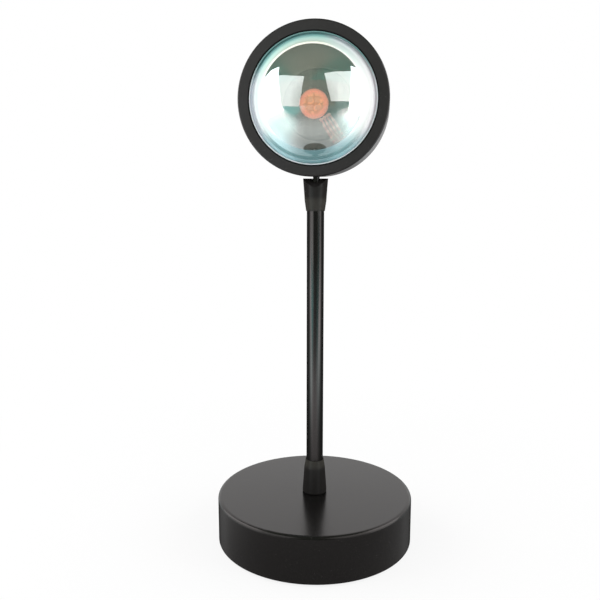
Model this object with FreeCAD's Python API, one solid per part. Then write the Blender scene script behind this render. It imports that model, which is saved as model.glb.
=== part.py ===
import FreeCAD, Part
import math
import os

# Sunset projection lamp: a round weighted base, a straight stem, a small fork joint and a drum-shaped
# head that looks along -Y. Millimetres, +Z up, origin at the centre of the base's underside.

Vector = FreeCAD.Vector
up = Vector(0, 0, 1)
rearward = Vector(0, 1, 0)
sideways = Vector(1, 0, 0)

# ---- clearances ----
running_gap = 0.05      # radial gap of a shaft in its hole, and between faces that rub
seat_gap = 0.1          # radial gap of a piece dropped into its seat
cut_margin = 1.0        # how far a cutting body runs past the face it cuts

# ---- base ----
base_radius = 50.0
base_height = 24.3
base_side_wall = 2.2
base_top_wall = 2.4
base_top_fillet = 1.8
base_rim_lift = 0.9         # the shell's rim stays this far above the table
foot_pad_thickness = 1.8
foot_pad_margin = 0.4       # radial gap between the pad and the shell
base_plate_thickness = 1.6
ballast_gap = 3.2           # radial gap between the ballast and the shell
ballast_hole_radius = 15.0
ballast_thickness = 10.0
ballast_notch_width = 16.0  # open at the rear, for the lead
ballast_edge_chamfer = 1.0
base_boss_inset = 6.6       # from the ballast's edge to the screws' circle
base_boss_radius = 4.0
base_boss_angles = (30, 150, 270)
base_screw_length = 16.0
base_screw_radius = 1.5
base_screw_head_radius = 2.9
base_screw_head_height = 1.4

# ---- cable gland at the rear of the base ----
gland_bore_radius = 2.0
gland_barrel_radius = 3.6
gland_flange_radius = 5.2
gland_flange_thickness = 1.8
gland_height = 9.0          # its axis above the table
gland_pad_width = 14.0
gland_pad_height = 11.6
gland_pad_depth = 5.0       # from the outside of the shell to the flat that the flange sits on
gland_outer_recess = 0.3

# ---- lead inside the base and stem ----
core_radius = 0.55
core_spacing = 1.3          # between the two cores' centres
connector_width = 6.0
connector_length = 12.0
connector_height = 5.4
connector_latch = 1.0       # height of the latch on its top, and half its width
connector_setback = 24.0    # from the outside of the shell to its front face
lead_base_bend = 6.0

# ---- stem ----
stem_radius = 4.25
stem_wall = 1.0
stem_rise = 147.1           # from the base's top face to the stem's top end
stem_washer_radius = 8.0
stem_washer_thickness = 1.0
stem_nut_flats = 13.0
stem_nut_thickness = 5.0
stem_thread_overrun = 1.5   # how far the stem passes the nut
ferrule_lip = 0.3           # wall left at the thin end of each ferrule
lower_ferrule_foot_radius = 6.2
lower_ferrule_shoulder_radius = 5.3
lower_ferrule_shoulder_height = 13.6
lower_ferrule_height = 17.8
lower_ferrule_band = 1.2    # upright edge at the foot, rounded over by the next value
lower_ferrule_round = 0.8

# ---- neck: the ferrule that swivels on the stem and forks round the tongue ----
swivel_washer_thickness = 0.5
neck_skirt = 1.8            # how far the ferrule reaches down over the stem
neck_shoulder_rise = 3.0    # from the stem's top end to the ferrule's widest taper
neck_shoulder_radius = 5.3
fork_radius = 6.1
pivot_rise = 7.7            # from the stem's top end to the tilt axis
slot_floor_drop = 5.5       # from the tilt axis to the floor of the fork's slot
slot_front_reach = 4.2      # the slot is closed ahead of this and open at the rear
spigot_length = 14.0
spigot_bore_radius = 1.8
spigot_groove_depth = 0.7
ring_groove_in_stem = 0.35
ring_thickness = 1.1
ring_lift = 3.0             # ring above the spigot's lower end
ring_opening = 1.6

# ---- tilt pivot ----
pivot_screw_radius = 1.5
pivot_head_radius = 2.6
pivot_head_height = 1.3
pivot_head_seat = 3.7       # from the lamp's axis to the seat of the head
pivot_nut_flats = 5.5
pivot_nut_thickness = 1.8
pivot_nut_seat = 2.8
pivot_washer_radius = 3.4
pivot_washer_thickness = 0.4

# ---- tongue under the head ----
tongue_thickness = 2.0
tongue_eye_radius = 3.6
tongue_half_depth = 2.6     # the strap's edges, ahead of and behind the tilt axis
tongue_foot_width = 8.4
tongue_foot_thickness = 1.7
tongue_foot_sink = 0.1      # the foot's top below the bore of the housing
tongue_screw_spacing = 5.5
tongue_screw_radius = 0.8
tongue_screw_head_radius = 1.3
tongue_screw_head_height = 0.7
tongue_screw_length = 2.9

# ---- head shell ----
head_radius = 35.1
head_clearance = 0.8        # between the fork's top and the drum's underside
head_front = -15.0          # front face of the bezel, ahead of the tilt axis
head_back = 22.0
bezel_ring_width = 5.4      # of the flat face that shows round the lens
bezel_flange_depth = 6.0
bezel_lip_depth = 1.6       # from the front face to the shoulder that the trim ring meets
bezel_spigot_length = 4.0
bezel_chamfer = 0.5
seam_chamfer = 0.25
housing_front_wall = 3.5
housing_rear_wall = 2.5
housing_rib_depth = 3.1     # the rib's height inside the front bore
housing_rib_thickness = 2.4
cover_thickness = 2.0
cover_recess = 0.4
cover_ledge = 0.7           # radial width of the ledge that the cover sits on
cover_boss_inset = 3.6      # from the rear bore to the screws' circle
cover_boss_radius = 3.0
cover_boss_angles = (90, 210, 330)
cover_screw_radius = 1.1
cover_screw_head_radius = 2.0
cover_screw_head_height = 1.1
cover_screw_length = 8.0
vent_first_radius = 8.0
vent_pitch = 5.0            # from one ring of slots to the next
vent_width = 2.2
vent_bridge = 3.6           # solid left between two slots of one ring
vent_spokes = 6

# ---- lens and what holds it ----
lens_flange_width = 1.7     # flat rim outside the dome
lens_flange_thickness = 1.2
lens_dome_height = 21.95    # nearly a half ball, proud of the bezel
trim_ring_thickness = 0.8   # of the flat part, between the bezel's lip and the lens's rim
trim_sleeve_wall = 0.5      # of the bright sleeve that lines the bezel's opening
trim_sleeve_setback = 0.3   # the sleeve's front edge behind the bezel's front face
collar_wall = 0.8           # of the bezel's spigot and the holder's collar
seal_thickness = 0.6
seal_width = 1.9
holder_reach = 12.0         # from the bezel's rear face to the holder's rear end

# ---- light source and electronics ----
plate_thickness = 1.2
plate_boss_height = 5.1     # the raised disc that brings the light source close to the lens
plate_screw_inset = 1.8     # from the rib's inner edge to the screws' circle
plate_screw_angles = (30, 150, 270)
plate_screw_radius = 0.9
plate_screw_head_radius = 1.7
plate_screw_head_height = 1.1
plate_screw_length = 2.6
thermal_pad_thickness = 0.4
led_board_radius = 10.0
led_board_thickness = 1.6
led_screw_spacing = 15.6
led_screw_radius = 0.9
led_screw_head_radius = 1.6
led_screw_head_height = 0.6
led_screw_angle = 35
emitter_radius = 4.3
emitter_x = -1.0            # the photograph shows it a little off the axis
emitter_thickness = 0.7
chip_size = 1.5
chip_pitch = 2.2
chip_thickness = 0.15
receiver_width = 5.0
receiver_length = 5.6
receiver_depth = 3.0
receiver_dome_radius = 1.9
receiver_dome_rise = 0.3
receiver_x = 1.5
receiver_rise = 5.5         # its centre above the controller board's lower edge
receiver_leg_radius = 0.25
receiver_leg_pitch = 1.27
led_wire_radius = 0.45
led_wire_pitch = 1.1
led_wire_count = 4
led_wire_angle = -57.8      # about the head's axis, from +X
led_wire_start = 6.6
led_wire_end_inset = 9.5    # from the holder's bore to where the wires turn back
led_wire_lift = 0.05        # above the board's face
led_wire_bend = 2.5
wire_slot_margin = 0.5

# ---- heat sink ----
sink_side_inset = 9.6       # from the rear bore to the sink's sides
sink_base_thickness = 2.0
sink_boss_gap = 1.5         # above the two lower screw posts
sink_top_gap = 5.0          # below the top screw post
sink_fin_height = 9.0
sink_fin_thickness = 1.4
sink_fin_pitch = 4.2
sink_tab = 5.3              # left clear of fins at each side, for the screws
sink_screw_inset = 2.8      # from the sink's sides
sink_screw_z = 5.5
sink_screw_radius = 1.1
sink_screw_head_radius = 2.0
sink_screw_head_height = 1.2

# ---- controller ----
board_width = 28.0
board_sink_gap = 4.5        # from the heat sink down to the board
board_floor_gap = 5.1       # from the rear bore up to the board
board_thickness = 1.2
standoff_height = 5.4
standoff_radius = 1.8
standoff_inset = 2.5        # from the board's lower corners
board_screw_radius = 0.9
board_screw_head_radius = 1.6
board_screw_head_height = 0.9
board_screw_length = 4.5
chip_block = (6.0, 1.6, 4.4)        # width, depth, height of the controller chip
component_drop = 3.6        # from the board's upper edge to the row of components
chip_x = -5.5
coil_radius = 2.4
coil_depth = 2.8
coil_x = 3.2
capacitor_radius = 2.0
capacitor_depth = 4.2
capacitor_x = 9.6
socket_block = (7.0, 3.2, 3.2)
socket_rise = 2.9           # its centre above the board's lower edge

# ---- lead inside the head ----
head_lead_y = 8.6
head_lead_hole_radius = 1.5
head_lead_rise = 1.9        # where it lands above the controller board's lower edge
head_lead_start = 0.4       # above the drum's underside

# ---- screw drives ----
drive_slot_width = 0.24     # share of the head's radius
drive_slot_reach = 0.62     # share of the head's radius
drive_slot_depth = 0.55     # share of the head's height
pan_head_round = 0.45       # share of the head's height

# ---- heights that follow from the sizes above ----
base_floor = foot_pad_thickness + base_plate_thickness
ballast_top = base_floor + ballast_thickness
base_ceiling = base_height - base_top_wall
base_inner_radius = base_radius - base_side_wall
ballast_radius = base_inner_radius - ballast_gap
base_boss_circle = ballast_radius - base_boss_inset
connector_front = base_radius - connector_setback
stem_top = base_height + stem_rise
stem_inner_radius = stem_radius - stem_wall
stem_nut_top = base_ceiling - stem_washer_thickness
stem_bottom = stem_nut_top - stem_nut_thickness - stem_thread_overrun
stem_hole_radius = stem_radius + running_gap
neck_bottom = stem_top - neck_skirt
neck_seat = stem_top + swivel_washer_thickness + running_gap
neck_shoulder = stem_top + neck_shoulder_rise
pivot_height = stem_top + pivot_rise
fork_top = pivot_height + fork_radius
slot_floor = pivot_height - slot_floor_drop
slot_width = tongue_thickness + 2 * (pivot_washer_thickness + running_gap)
spigot_radius = stem_inner_radius - running_gap
spigot_bottom = stem_top - spigot_length
ring_bottom = spigot_bottom + ring_lift
head_height = fork_top + head_clearance + head_radius
drum_underside = head_height - head_radius

# ---- stations along the head, front to back ----
bezel_back = head_front + bezel_flange_depth
bezel_shoulder = head_front + bezel_lip_depth
spigot_back = bezel_back + bezel_spigot_length
lens_flange_front = bezel_shoulder + trim_ring_thickness
lens_apex = lens_flange_front - lens_dome_height
lens_back = lens_flange_front + lens_flange_thickness
seal_back = lens_back + seal_thickness
holder_back = bezel_back + holder_reach
plate_front = holder_back + housing_rib_thickness
plate_back = plate_front + plate_thickness
plate_boss_front = plate_front - plate_boss_height
led_board_back = plate_boss_front - thermal_pad_thickness
led_board_front = led_board_back - led_board_thickness
emitter_front = led_board_front - emitter_thickness
sink_base_back = plate_back + sink_base_thickness
board_front = plate_back + standoff_height
board_back = board_front + board_thickness
cover_back = head_back - cover_recess
cover_front = cover_back - cover_thickness
front_bore_radius = head_radius - housing_front_wall
rear_bore_radius = head_radius - housing_rear_wall
cover_seat_radius = rear_bore_radius + cover_ledge
cover_boss_circle = rear_bore_radius - cover_boss_inset
bezel_opening_radius = head_radius - bezel_ring_width
collar_outer_radius = front_bore_radius - seat_gap
collar_inner_radius = collar_outer_radius - collar_wall
lens_flange_radius = collar_inner_radius - seat_gap
lens_edge_radius = lens_flange_radius - lens_flange_width
trim_sleeve_outer_radius = bezel_opening_radius - running_gap
trim_sleeve_inner_radius = trim_sleeve_outer_radius - trim_sleeve_wall
seal_outer_radius = lens_flange_radius - seat_gap
seal_inner_radius = seal_outer_radius - seal_width
holder_bore_radius = seal_inner_radius - seat_gap
housing_rib_radius = front_bore_radius - housing_rib_depth
plate_screw_circle = housing_rib_radius + plate_screw_inset
led_wire_end = holder_bore_radius - led_wire_end_inset
foot_top = head_height - front_bore_radius - tongue_foot_sink
foot_bottom = foot_top - tongue_foot_thickness

# ---- heights inside the head, above its axis ----
lower_boss_top = cover_boss_circle * math.sin(math.radians(cover_boss_angles[1])) + cover_boss_radius
sink_bottom = lower_boss_top + sink_boss_gap
sink_top = cover_boss_circle - cover_boss_radius - sink_top_gap
sink_half_width = rear_bore_radius - sink_side_inset
sink_screw_x = sink_half_width - sink_screw_inset
fins_each_side = math.floor((sink_half_width - sink_tab - sink_fin_thickness / 2) / sink_fin_pitch)
board_top = sink_bottom - board_sink_gap
board_bottom = board_floor_gap - rear_bore_radius
standoff_x = board_width / 2 - standoff_inset
standoff_z = board_bottom + standoff_inset
receiver_z = board_bottom + receiver_rise
component_z = board_top - component_drop
socket_z = board_bottom + socket_rise


# ---- building helpers ----
def cylinder_z(radius, bottom, top, x=0.0, y=0.0):
    return Part.makeCylinder(radius, top - bottom, Vector(x, y, bottom), up)


def tube_z(outer, inner, bottom, top):
    bore = cylinder_z(inner, bottom - cut_margin, top + cut_margin)
    return cylinder_z(outer, bottom, top).cut(bore)


def cylinder_x(radius, left, right):
    # about the tilt axis
    return Part.makeCylinder(radius, right - left, Vector(left, 0, pivot_height), sideways)


def cylinder_y(radius, front, back, x=0.0, z=0.0):
    # along the head; x and z are measured from the head's axis
    return Part.makeCylinder(radius, back - front, Vector(x, front, head_height + z), rearward)


def tube_y(outer, inner, front, back):
    bore = cylinder_y(inner, front - cut_margin, back + cut_margin)
    return cylinder_y(outer, front, back).cut(bore)


def block(x_range, y_range, z_range):
    size = [high - low for low, high in (x_range, y_range, z_range)]
    return Part.makeBox(*size, Vector(x_range[0], y_range[0], z_range[0]))


def head_block(centre, size, front, back):
    # a block in the head: centre and size are across and upward, from the head's axis
    x_range = (centre[0] - size[0] / 2, centre[0] + size[0] / 2)
    z_middle = head_height + centre[1]
    return block(x_range, (front, back), (z_middle - size[1] / 2, z_middle + size[1] / 2))


def revolved_z(profile):
    # profile: (radius, height) points of a closed outline
    corners = [Vector(radius, 0, height) for radius, height in profile]
    face = Part.Face(Part.makePolygon(corners + corners[:1]))
    return face.revolve(Vector(0, 0, 0), up, 360)


def revolved_y(profile):
    # profile: (radius, station) points of a closed outline about the head's axis
    corners = [Vector(radius, station, head_height) for radius, station in profile]
    face = Part.Face(Part.makePolygon(corners + corners[:1]))
    return face.revolve(Vector(0, 0, head_height), rearward, 360)


def polar(radius, degrees):
    return (radius * math.cos(math.radians(degrees)), radius * math.sin(math.radians(degrees)))


def hexagon(flats, thickness):
    corner = flats / math.sqrt(3)
    corners = [Vector(*polar(corner, 60 * index), 0) for index in range(7)]
    return Part.Face(Part.makePolygon(corners)).extrude(Vector(0, 0, thickness))


def placed(shape, position, direction):
    # turns a shape's own +Z to the direction and moves its origin to the position
    moved = shape.copy()
    moved.Placement = FreeCAD.Placement(position, FreeCAD.Rotation(up, direction))
    return moved


def cross_drive(head_radius_here, head_top, head_depth):
    reach = head_radius_here * drive_slot_reach
    half = head_radius_here * drive_slot_width / 2
    depth_range = (head_top - head_depth * drive_slot_depth, head_top + cut_margin)
    one_way = block((-reach, reach), (-half, half), depth_range)
    other_way = block((-half, half), (-reach, reach), depth_range)
    return one_way.fuse(other_way)


def pan_screw(shank, head, height, length):
    # the head's underside is at z = 0 and the shank goes down
    body = cylinder_z(head, 0, height)
    body = body.makeFillet(height * pan_head_round, [body.Edges[0]])
    body = body.fuse(cylinder_z(shank, -length, 0)).removeSplitter()
    return body.cut(cross_drive(head, height, height))


def flat_screw(shank, head, height, length):
    # the head's flat top is at z = 0 and the shank goes down
    cone = Part.makeCone(shank, head, height, Vector(0, 0, -height), up)
    body = cone.fuse(cylinder_z(shank, -length, -height)).removeSplitter()
    return body.cut(cross_drive(head, 0, height))


def flat_screw_hole(shank, head, height, length):
    # room for a flat screw: the same shape with clearance
    room = cylinder_z(shank + seat_gap, -length - seat_gap, cut_margin)
    cone = Part.makeCone(shank + seat_gap, head + seat_gap, height, Vector(0, 0, -height), up)
    return room.fuse(cone).fuse(cylinder_z(head + seat_gap, 0, cut_margin))


def rounded_path(points, bend_radius):
    # straight runs through the points, joined by tangent arcs
    edges = []
    start = points[0]
    for before, corner, after in zip(points, points[1:], points[2:]):
        arriving = (corner - before).normalize()
        leaving = (after - corner).normalize()
        half_turn = arriving.getAngle(leaving) / 2
        setback = bend_radius * math.tan(half_turn)
        arc_start = corner - arriving * setback
        arc_end = corner + leaving * setback
        inward = (leaving - arriving).normalize()
        arc_middle = corner + inward * (bend_radius / math.cos(half_turn) - bend_radius)
        edges.append(Part.makeLine(start, arc_start))
        edges.append(Part.Arc(arc_start, arc_middle, arc_end).toShape())
        start = arc_end
    edges.append(Part.makeLine(start, points[-1]))
    return Part.Wire(edges)


def round_wire(points, bend_radius, wire_radius):
    path = rounded_path(points, bend_radius)
    ring = Part.Wire([Part.makeCircle(wire_radius, points[0], points[1] - points[0])])
    return path.makePipeShell([ring], True, False)


def both_cores(points, bend_radius):
    cores = []
    for side in (-core_spacing / 2, core_spacing / 2):
        shifted = [point + sideways * side for point in points]
        cores.append(round_wire(shifted, bend_radius, core_radius))
    return Part.makeCompound(cores)


def around_base(shape_at_origin, height, direction):
    copies = []
    for angle in base_boss_angles:
        x, y = polar(base_boss_circle, angle)
        copies.append(placed(shape_at_origin, Vector(x, y, height), direction))
    return Part.makeCompound(copies)


def around_head(shape_at_origin, circle, angles, station):
    # copies whose own +Z looks rearward
    copies = []
    for angle in angles:
        x, z = polar(circle, angle)
        copies.append(placed(shape_at_origin, Vector(x, station, head_height + z), rearward))
    return Part.makeCompound(copies)


# ---- base ----
def make_base_shell():
    shell = cylinder_z(base_radius, base_rim_lift, base_height)
    shell = shell.makeFillet(base_top_fillet, [edge for edge in shell.Edges
                                              if edge.BoundBox.ZMin > base_height - cut_margin])
    shell = shell.cut(cylinder_z(base_inner_radius, base_rim_lift - cut_margin, base_ceiling))
    pad_flat = base_radius - gland_pad_depth
    pad_bottom = gland_height - gland_pad_height / 2
    gland_pad = block((-gland_pad_width / 2, gland_pad_width / 2),
                      (pad_flat, base_radius - base_side_wall / 2),
                      (max(pad_bottom, base_floor + seat_gap), gland_height + gland_pad_height / 2))
    shell = shell.fuse(gland_pad)
    for angle in base_boss_angles:
        x, y = polar(base_boss_circle, angle)
        shell = shell.fuse(cylinder_z(base_boss_radius, ballast_top, base_ceiling + cut_margin, x, y))
    shell = shell.removeSplitter()
    screw_tip = foot_pad_thickness + base_screw_length
    for angle in base_boss_angles:
        x, y = polar(base_boss_circle, angle)
        shell = shell.cut(cylinder_z(base_screw_radius + running_gap, ballast_top - cut_margin,
                                     screw_tip + cut_margin, x, y))
    shell = shell.cut(cylinder_z(stem_hole_radius, base_ceiling - cut_margin, base_height + cut_margin))
    gland_hole = Part.makeCylinder(gland_barrel_radius + running_gap, gland_pad_depth + 2 * cut_margin,
                                   Vector(0, pad_flat - cut_margin, gland_height), rearward)
    return shell.cut(gland_hole)


def make_base_plate():
    plate = cylinder_z(base_inner_radius - seat_gap, foot_pad_thickness, base_floor)
    room = flat_screw_hole(base_screw_radius, base_screw_head_radius, base_screw_head_height,
                           base_screw_length)
    return plate.cut(around_base(room, foot_pad_thickness, -up))


def make_foot_pad():
    return cylinder_z(base_inner_radius - foot_pad_margin, 0, foot_pad_thickness)


def make_ballast_weight():
    weight = cylinder_z(ballast_radius, base_floor, ballast_top)
    weight = weight.makeChamfer(ballast_edge_chamfer, [edge for edge in weight.Edges
                                                       if edge.BoundBox.ZMin > base_floor + cut_margin])
    weight = weight.cut(cylinder_z(ballast_hole_radius, base_floor - cut_margin, ballast_top + cut_margin))
    half = ballast_notch_width / 2
    weight = weight.cut(block((-half, half), (0, ballast_radius + cut_margin),
                              (base_floor - cut_margin, ballast_top + cut_margin)))
    for angle in base_boss_angles:
        x, y = polar(base_boss_circle, angle)
        weight = weight.cut(cylinder_z(base_screw_radius + seat_gap, base_floor - cut_margin,
                                       ballast_top + cut_margin, x, y))
    return weight


def make_base_screws():
    screw = flat_screw(base_screw_radius, base_screw_head_radius, base_screw_head_height,
                       base_screw_length)
    return around_base(screw, foot_pad_thickness, -up)


def make_cable_gland():
    flat = base_radius - gland_pad_depth
    outer_end = base_radius - gland_outer_recess
    flange_start = Vector(0, flat - gland_flange_thickness, gland_height)
    flange = Part.makeCylinder(gland_flange_radius, gland_flange_thickness, flange_start, rearward)
    barrel = Part.makeCylinder(gland_barrel_radius, outer_end - flange_start.y, flange_start, rearward)
    bore_start = flange_start - rearward * cut_margin
    bore = Part.makeCylinder(gland_bore_radius, outer_end - flange_start.y + 2 * cut_margin,
                             bore_start, rearward)
    return flange.fuse(barrel).removeSplitter().cut(bore)


def make_lead_connector():
    half = connector_width / 2
    body = block((-half, half), (connector_front, connector_front + connector_length),
                 (base_floor, base_floor + connector_height))
    middle = connector_front + connector_length / 2
    latch_bottom = base_floor + connector_height
    latch = block((-connector_latch, connector_latch), (middle - half, middle),
                  (latch_bottom, latch_bottom + connector_latch))
    return body.fuse(latch).removeSplitter()


def make_stem_lead():
    run_height = base_floor + connector_height / 2
    route = [Vector(0, connector_front, run_height), Vector(0, 0, run_height),
             Vector(0, 0, slot_floor - running_gap)]
    return both_cores(route, lead_base_bend)


# ---- stem ----
def make_stem_tube():
    stem = tube_z(stem_radius, stem_inner_radius, stem_bottom, stem_top)
    groove = cylinder_z(stem_inner_radius + ring_groove_in_stem, ring_bottom,
                        ring_bottom + ring_thickness)
    return stem.cut(groove)


def make_stem_washer():
    return tube_z(stem_washer_radius, stem_hole_radius, stem_nut_top, base_ceiling)


def make_stem_nut():
    nut = placed(hexagon(stem_nut_flats, stem_nut_thickness),
                 Vector(0, 0, stem_nut_top - stem_nut_thickness), up)
    return nut.cut(cylinder_z(stem_hole_radius, stem_bottom, stem_nut_top + cut_margin))


def make_lower_ferrule():
    lip = stem_hole_radius + ferrule_lip
    profile = [(stem_hole_radius, base_height), (lower_ferrule_foot_radius, base_height),
               (lower_ferrule_foot_radius, base_height + lower_ferrule_band),
               (lower_ferrule_shoulder_radius, base_height + lower_ferrule_shoulder_height),
               (lip, base_height + lower_ferrule_height),
               (stem_hole_radius, base_height + lower_ferrule_height)]
    ferrule = revolved_z(profile)
    foot_edge = [edge for edge in ferrule.Edges if edge.BoundBox.ZMax < base_height + running_gap
                 and edge.BoundBox.XMax > lower_ferrule_foot_radius - running_gap]
    return ferrule.makeFillet(lower_ferrule_round, foot_edge)


def make_swivel_washer():
    return tube_z(stem_radius, stem_inner_radius + running_gap, stem_top,
                  stem_top + swivel_washer_thickness)


def make_swivel_retaining_ring():
    inner = spigot_radius - spigot_groove_depth + running_gap
    outer = stem_inner_radius + ring_groove_in_stem - running_gap
    ring = tube_z(outer, inner, ring_bottom + running_gap, ring_bottom + ring_thickness - running_gap)
    return ring.cut(block((-ring_opening / 2, ring_opening / 2), (0, outer + cut_margin),
                          (ring_bottom - cut_margin, ring_bottom + ring_thickness + cut_margin)))


# ---- neck ----
def make_upper_ferrule():
    lip = stem_hole_radius + ferrule_lip
    profile = [(0, spigot_bottom), (spigot_radius, spigot_bottom), (spigot_radius, neck_seat),
               (stem_hole_radius, neck_seat), (stem_hole_radius, neck_bottom), (lip, neck_bottom),
               (neck_shoulder_radius, neck_shoulder), (fork_radius, fork_top), (0, fork_top)]
    ferrule = revolved_z(profile)
    reach = fork_radius + cut_margin
    rounding = cylinder_x(fork_radius, -reach, reach)
    rounding = rounding.fuse(block((-reach, reach), (-reach, reach), (spigot_bottom, pivot_height)))
    ferrule = ferrule.common(rounding)
    ferrule = ferrule.cut(block((-slot_width / 2, slot_width / 2), (-slot_front_reach, reach),
                                (slot_floor, fork_top + cut_margin)))
    ferrule = ferrule.cut(cylinder_z(spigot_bore_radius, spigot_bottom - cut_margin,
                                     slot_floor + cut_margin))
    groove = tube_z(spigot_radius + cut_margin, spigot_radius - spigot_groove_depth,
                    ring_bottom, ring_bottom + ring_thickness)
    ferrule = ferrule.cut(groove)
    ferrule = ferrule.cut(cylinder_x(pivot_screw_radius + running_gap, -reach, reach))
    ferrule = ferrule.cut(cylinder_x(pivot_head_radius + seat_gap, -reach, -pivot_head_seat))
    nut_room = placed(hexagon(pivot_nut_flats + 2 * seat_gap, reach),
                      Vector(pivot_nut_seat, 0, pivot_height), sideways)
    return ferrule.cut(nut_room).removeSplitter()


def make_pivot_screw():
    tip = pivot_nut_seat + pivot_nut_thickness
    screw = pan_screw(pivot_screw_radius, pivot_head_radius, pivot_head_height, pivot_head_seat + tip)
    return placed(screw, Vector(-pivot_head_seat, 0, pivot_height), -sideways)


def make_pivot_nut():
    nut = placed(hexagon(pivot_nut_flats, pivot_nut_thickness), Vector(pivot_nut_seat, 0, pivot_height),
                 sideways)
    return nut.cut(cylinder_x(pivot_screw_radius + running_gap, 0, fork_radius + cut_margin))


def make_pivot_washers():
    washers = []
    for outer_face in (-slot_width / 2, slot_width / 2 - pivot_washer_thickness):
        disc = cylinder_x(pivot_washer_radius, outer_face, outer_face + pivot_washer_thickness)
        washers.append(disc.cut(cylinder_x(pivot_screw_radius + running_gap, -slot_width, slot_width)))
    return Part.makeCompound(washers)


# ---- tongue under the head ----
def tongue_strap(extra):
    half = tongue_thickness / 2 + extra
    edge = tongue_half_depth + extra
    return block((-half, half), (-edge, edge), (pivot_height, foot_top))


def tongue_foot(extra):
    half = tongue_foot_width / 2 + extra
    edge = tongue_half_depth + extra
    return block((-half, half), (-edge, edge), (foot_bottom, foot_top + extra))


def tongue_screw_places():
    return [Vector(side * tongue_screw_spacing / 2, 0, foot_top) for side in (-1, 1)]


def make_hinge_tongue():
    eye = cylinder_x(tongue_eye_radius, -tongue_thickness / 2, tongue_thickness / 2)
    tongue = eye.fuse(tongue_strap(0)).fuse(tongue_foot(0)).removeSplitter()
    tongue = tongue.cut(cylinder_x(pivot_screw_radius + running_gap, -slot_width, slot_width))
    room = flat_screw_hole(tongue_screw_radius, tongue_screw_head_radius, tongue_screw_head_height,
                           tongue_screw_length)
    for place in tongue_screw_places():
        tongue = tongue.cut(placed(room, place, up))
    return tongue


def make_tongue_screws():
    screw = flat_screw(tongue_screw_radius, tongue_screw_head_radius, tongue_screw_head_height,
                       tongue_screw_length)
    return Part.makeCompound([placed(screw, place, up) for place in tongue_screw_places()])


# ---- head shell ----
def cover_boss(angle, front, back, extra):
    # a round post joined to the housing's wall by a straight web
    radius = cover_boss_radius + extra
    post = cylinder_y(radius, front, back, cover_boss_circle)
    web = head_block((cover_boss_circle + head_radius / 2, 0), (head_radius, 2 * radius), front, back)
    boss = post.fuse(web)
    boss.rotate(Vector(0, 0, head_height), -rearward, angle)
    return boss


def make_head_housing():
    profile = [(front_bore_radius, bezel_back), (head_radius - seam_chamfer, bezel_back),
               (head_radius, bezel_back + seam_chamfer), (head_radius, head_back - bezel_chamfer),
               (head_radius - bezel_chamfer, head_back), (cover_seat_radius + seat_gap, head_back),
               (cover_seat_radius + seat_gap, cover_front), (rear_bore_radius, cover_front),
               (rear_bore_radius, plate_front), (housing_rib_radius, plate_front),
               (housing_rib_radius, holder_back), (front_bore_radius, holder_back)]
    housing = revolved_y(profile)
    inside = cylinder_y(head_radius - housing_rear_wall / 2, plate_front, cover_front)
    for angle in cover_boss_angles:
        housing = housing.fuse(cover_boss(angle, plate_front, cover_front, 0).common(inside))
    housing = housing.removeSplitter()
    screw_tip = cover_back - cover_screw_length
    plate_screw_tip = plate_back - plate_screw_length
    for angle in cover_boss_angles:
        x, z = polar(cover_boss_circle, angle)
        housing = housing.cut(cylinder_y(cover_screw_radius + running_gap, screw_tip - cut_margin,
                                         cover_front + cut_margin, x, z))
    for angle in plate_screw_angles:
        x, z = polar(plate_screw_circle, angle)
        housing = housing.cut(cylinder_y(plate_screw_radius + running_gap, plate_screw_tip - seat_gap,
                                         plate_front + cut_margin, x, z))
    housing = housing.cut(tongue_foot(seat_gap)).cut(tongue_strap(running_gap))
    for place in tongue_screw_places():
        housing = housing.cut(cylinder_z(tongue_screw_radius + running_gap,
                                         foot_top - tongue_screw_length - seat_gap,
                                         foot_bottom + cut_margin, place.x, place.y))
    lead_hole = cylinder_z(head_lead_hole_radius, drum_underside - cut_margin,
                           drum_underside + housing_rear_wall + cut_margin, 0, head_lead_y)
    return housing.cut(lead_hole)


def make_front_bezel():
    profile = [(bezel_opening_radius + bezel_chamfer, head_front),
               (head_radius - bezel_chamfer, head_front), (head_radius, head_front + bezel_chamfer),
               (head_radius, bezel_back - seam_chamfer), (head_radius - seam_chamfer, bezel_back),
               (collar_outer_radius, bezel_back), (collar_outer_radius, spigot_back),
               (collar_inner_radius, spigot_back), (collar_inner_radius, bezel_shoulder),
               (bezel_opening_radius, bezel_shoulder),
               (bezel_opening_radius, head_front + bezel_chamfer)]
    return revolved_y(profile)


def make_rear_cover():
    cover = cylinder_y(cover_seat_radius, cover_front, cover_back)
    last_radius = cover_boss_circle - cover_boss_radius - vent_width
    circle = vent_first_radius
    while circle < last_radius:
        ring = tube_y(circle + vent_width / 2, circle - vent_width / 2,
                      cover_front - cut_margin, cover_back + cut_margin)
        for spoke in range(vent_spokes):
            bridge = block((-vent_bridge / 2, vent_bridge / 2),
                           (cover_front - 2 * cut_margin, cover_back + 2 * cut_margin),
                           (head_height, head_height + circle + vent_width))
            bridge.rotate(Vector(0, 0, head_height), rearward, 360 * spoke / vent_spokes)
            ring = ring.cut(bridge)
        cover = cover.cut(ring)
        circle += vent_pitch
    room = flat_screw_hole(cover_screw_radius, cover_screw_head_radius, cover_screw_head_height,
                           cover_screw_length)
    return cover.cut(around_head(room, cover_boss_circle, cover_boss_angles, cover_back))


def make_rear_cover_screws():
    screw = flat_screw(cover_screw_radius, cover_screw_head_radius, cover_screw_head_height,
                       cover_screw_length)
    return around_head(screw, cover_boss_circle, cover_boss_angles, cover_back)


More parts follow.
